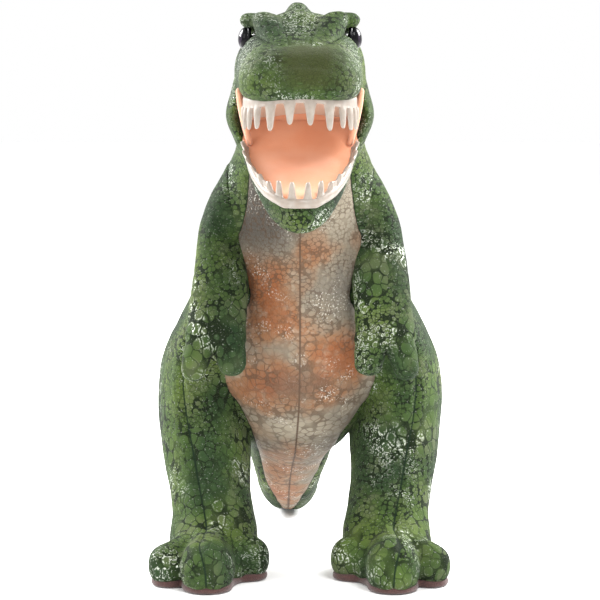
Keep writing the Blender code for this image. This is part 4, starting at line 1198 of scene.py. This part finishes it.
def eye_piece(side, sign):
    centre = EYE * (sign, 1, 1)
    out = unit(EYE_OUT * (sign, 1, 1))
    across = unit(np.cross(out, np.array([0.0, 0.0, 1.0])))
    up = np.cross(across, out)
    profile = [(-5.5, 2.2), (0.2, 2.2), (0.4, 6.0), (0.6, EYE_R), (1.2, EYE_R + 0.35), (1.9, EYE_R + 0.35),
               (2.4, EYE_R), (2.5, EYE_R - 0.5)]
    dome_base = (2.4, EYE_R - 0.8)
    for turn in range(0, 90, 8):
        profile.append((dome_base[0] + 4.0 * math.sin(math.radians(turn)),
                        dome_base[1] * math.cos(math.radians(turn))))
    angles = around_from(0, 2 * math.pi, 48)
    circle = np.outer(np.cos(angles), across) + np.outer(np.sin(angles), up)
    rings = [centre + out * along + circle * radius for along, radius in profile]
    skin = Skin(rings, centre - out * 5.5, centre + out * (dome_base[0] + 4.0))
    points, faces = skin.closed()
    ring = np.concatenate([np.repeat([r / EYE_R for _, r in profile], 48), [0, 0]])
    piece = mesh_piece("eye_dome_" + side, points, faces, GLOSS, None, {"ring": ring})
    finish_piece(piece, "eye_plastic", ["eye_" + side], rides="head")


body_pieces()
for side, sign in SIDES:
    leg_pieces(side, sign)
    arm_pieces(side, sign)
    eye_piece(side, sign)
head_pieces()
jaw_pieces()
mouth_sides()
tooth_strip("tooth_strip_upper", "teeth_upper", "head", (31.0, 70.0, -84.0, 3.0), (SKULL, 4, 1.0), 16, 12.4, -1,
            (0.02, 0.12), 0.31, 3.0, 2.2, (0.0, 0.0, 0.0))
tooth_strip("tooth_strip_lower", "teeth_lower", "jaw", (30.0, 58.6, -76.0, 1.76), (JAW, 3, -0.4), 16, 8.4, 1,
            (0.05, 0.55), 0.30, 4.6, 0.4, (1.0, 3.6, 1.8))
WASHER = moulded("washer_plastic", (0.75, 0.75, 0.73), 0.4)
for side in ("left", "right"):
    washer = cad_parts["eye_washer_" + side]
    washer.data.materials.clear()
    washer.data.materials.append(WASHER)

# The studio

CAMERA, CAMERA_DOWN, LENS = (0, -1.3246, 0.30), 6.08, 128.4  # metres, degrees, mm


def studio():
    scene = bpy.context.scene
    scene.view_settings.view_transform = "Standard"
    floor_mesh = bpy.data.meshes.new("floor")
    floor_mesh.from_pydata([(-6, -4, 0), (6, -4, 0), (6, 8, 0), (-6, 8, 0)], [], [(0, 1, 2, 3)])
    floor = linked("floor", floor_mesh)
    paper = Graph("paper", roughness=0.9)
    paper.shader.inputs["Base Color"].default_value = (1, 1, 1, 1)
    floor_mesh.materials.append(paper.material)
    world = bpy.data.worlds.new("studio")
    scene.world = world
    world.use_nodes = True
    sky = world.node_tree.nodes["Background"]
    sky.inputs[0].default_value = (1, 1, 1, 1)
    sky.inputs[1].default_value = 1.0
    for name, where, aim, size, power in (
        ("key", (0.7, -1.2, 1.6), (0, 0, 0.2), 0.8, 30),
        ("fill", (-1.3, -1.0, 0.9), (0, 0, 0.15), 1.0, 10),
        ("rim_left", (-1.0, 0.6, 0.8), (0, 0, 0.2), 0.6, 34),
        ("rim_right", (1.0, 0.6, 0.9), (0, 0, 0.2), 0.6, 40),
    ):
        lamp = bpy.data.lights.new(name, "AREA")
        lamp.size = size
        lamp.energy = power
        made = linked(name, lamp)
        made.location = where
        made.rotation_euler = (Vector(aim) - Vector(where)).to_track_quat("-Z", "Y").to_euler()
    camera = linked("camera", bpy.data.cameras.new("camera"))
    camera.data.lens = LENS
    camera.data.sensor_width = 36
    camera.location = CAMERA
    camera.rotation_euler = (math.radians(90 - CAMERA_DOWN), 0, 0)
    camera.data.clip_start = 0.05
    scene.camera = camera


studio()
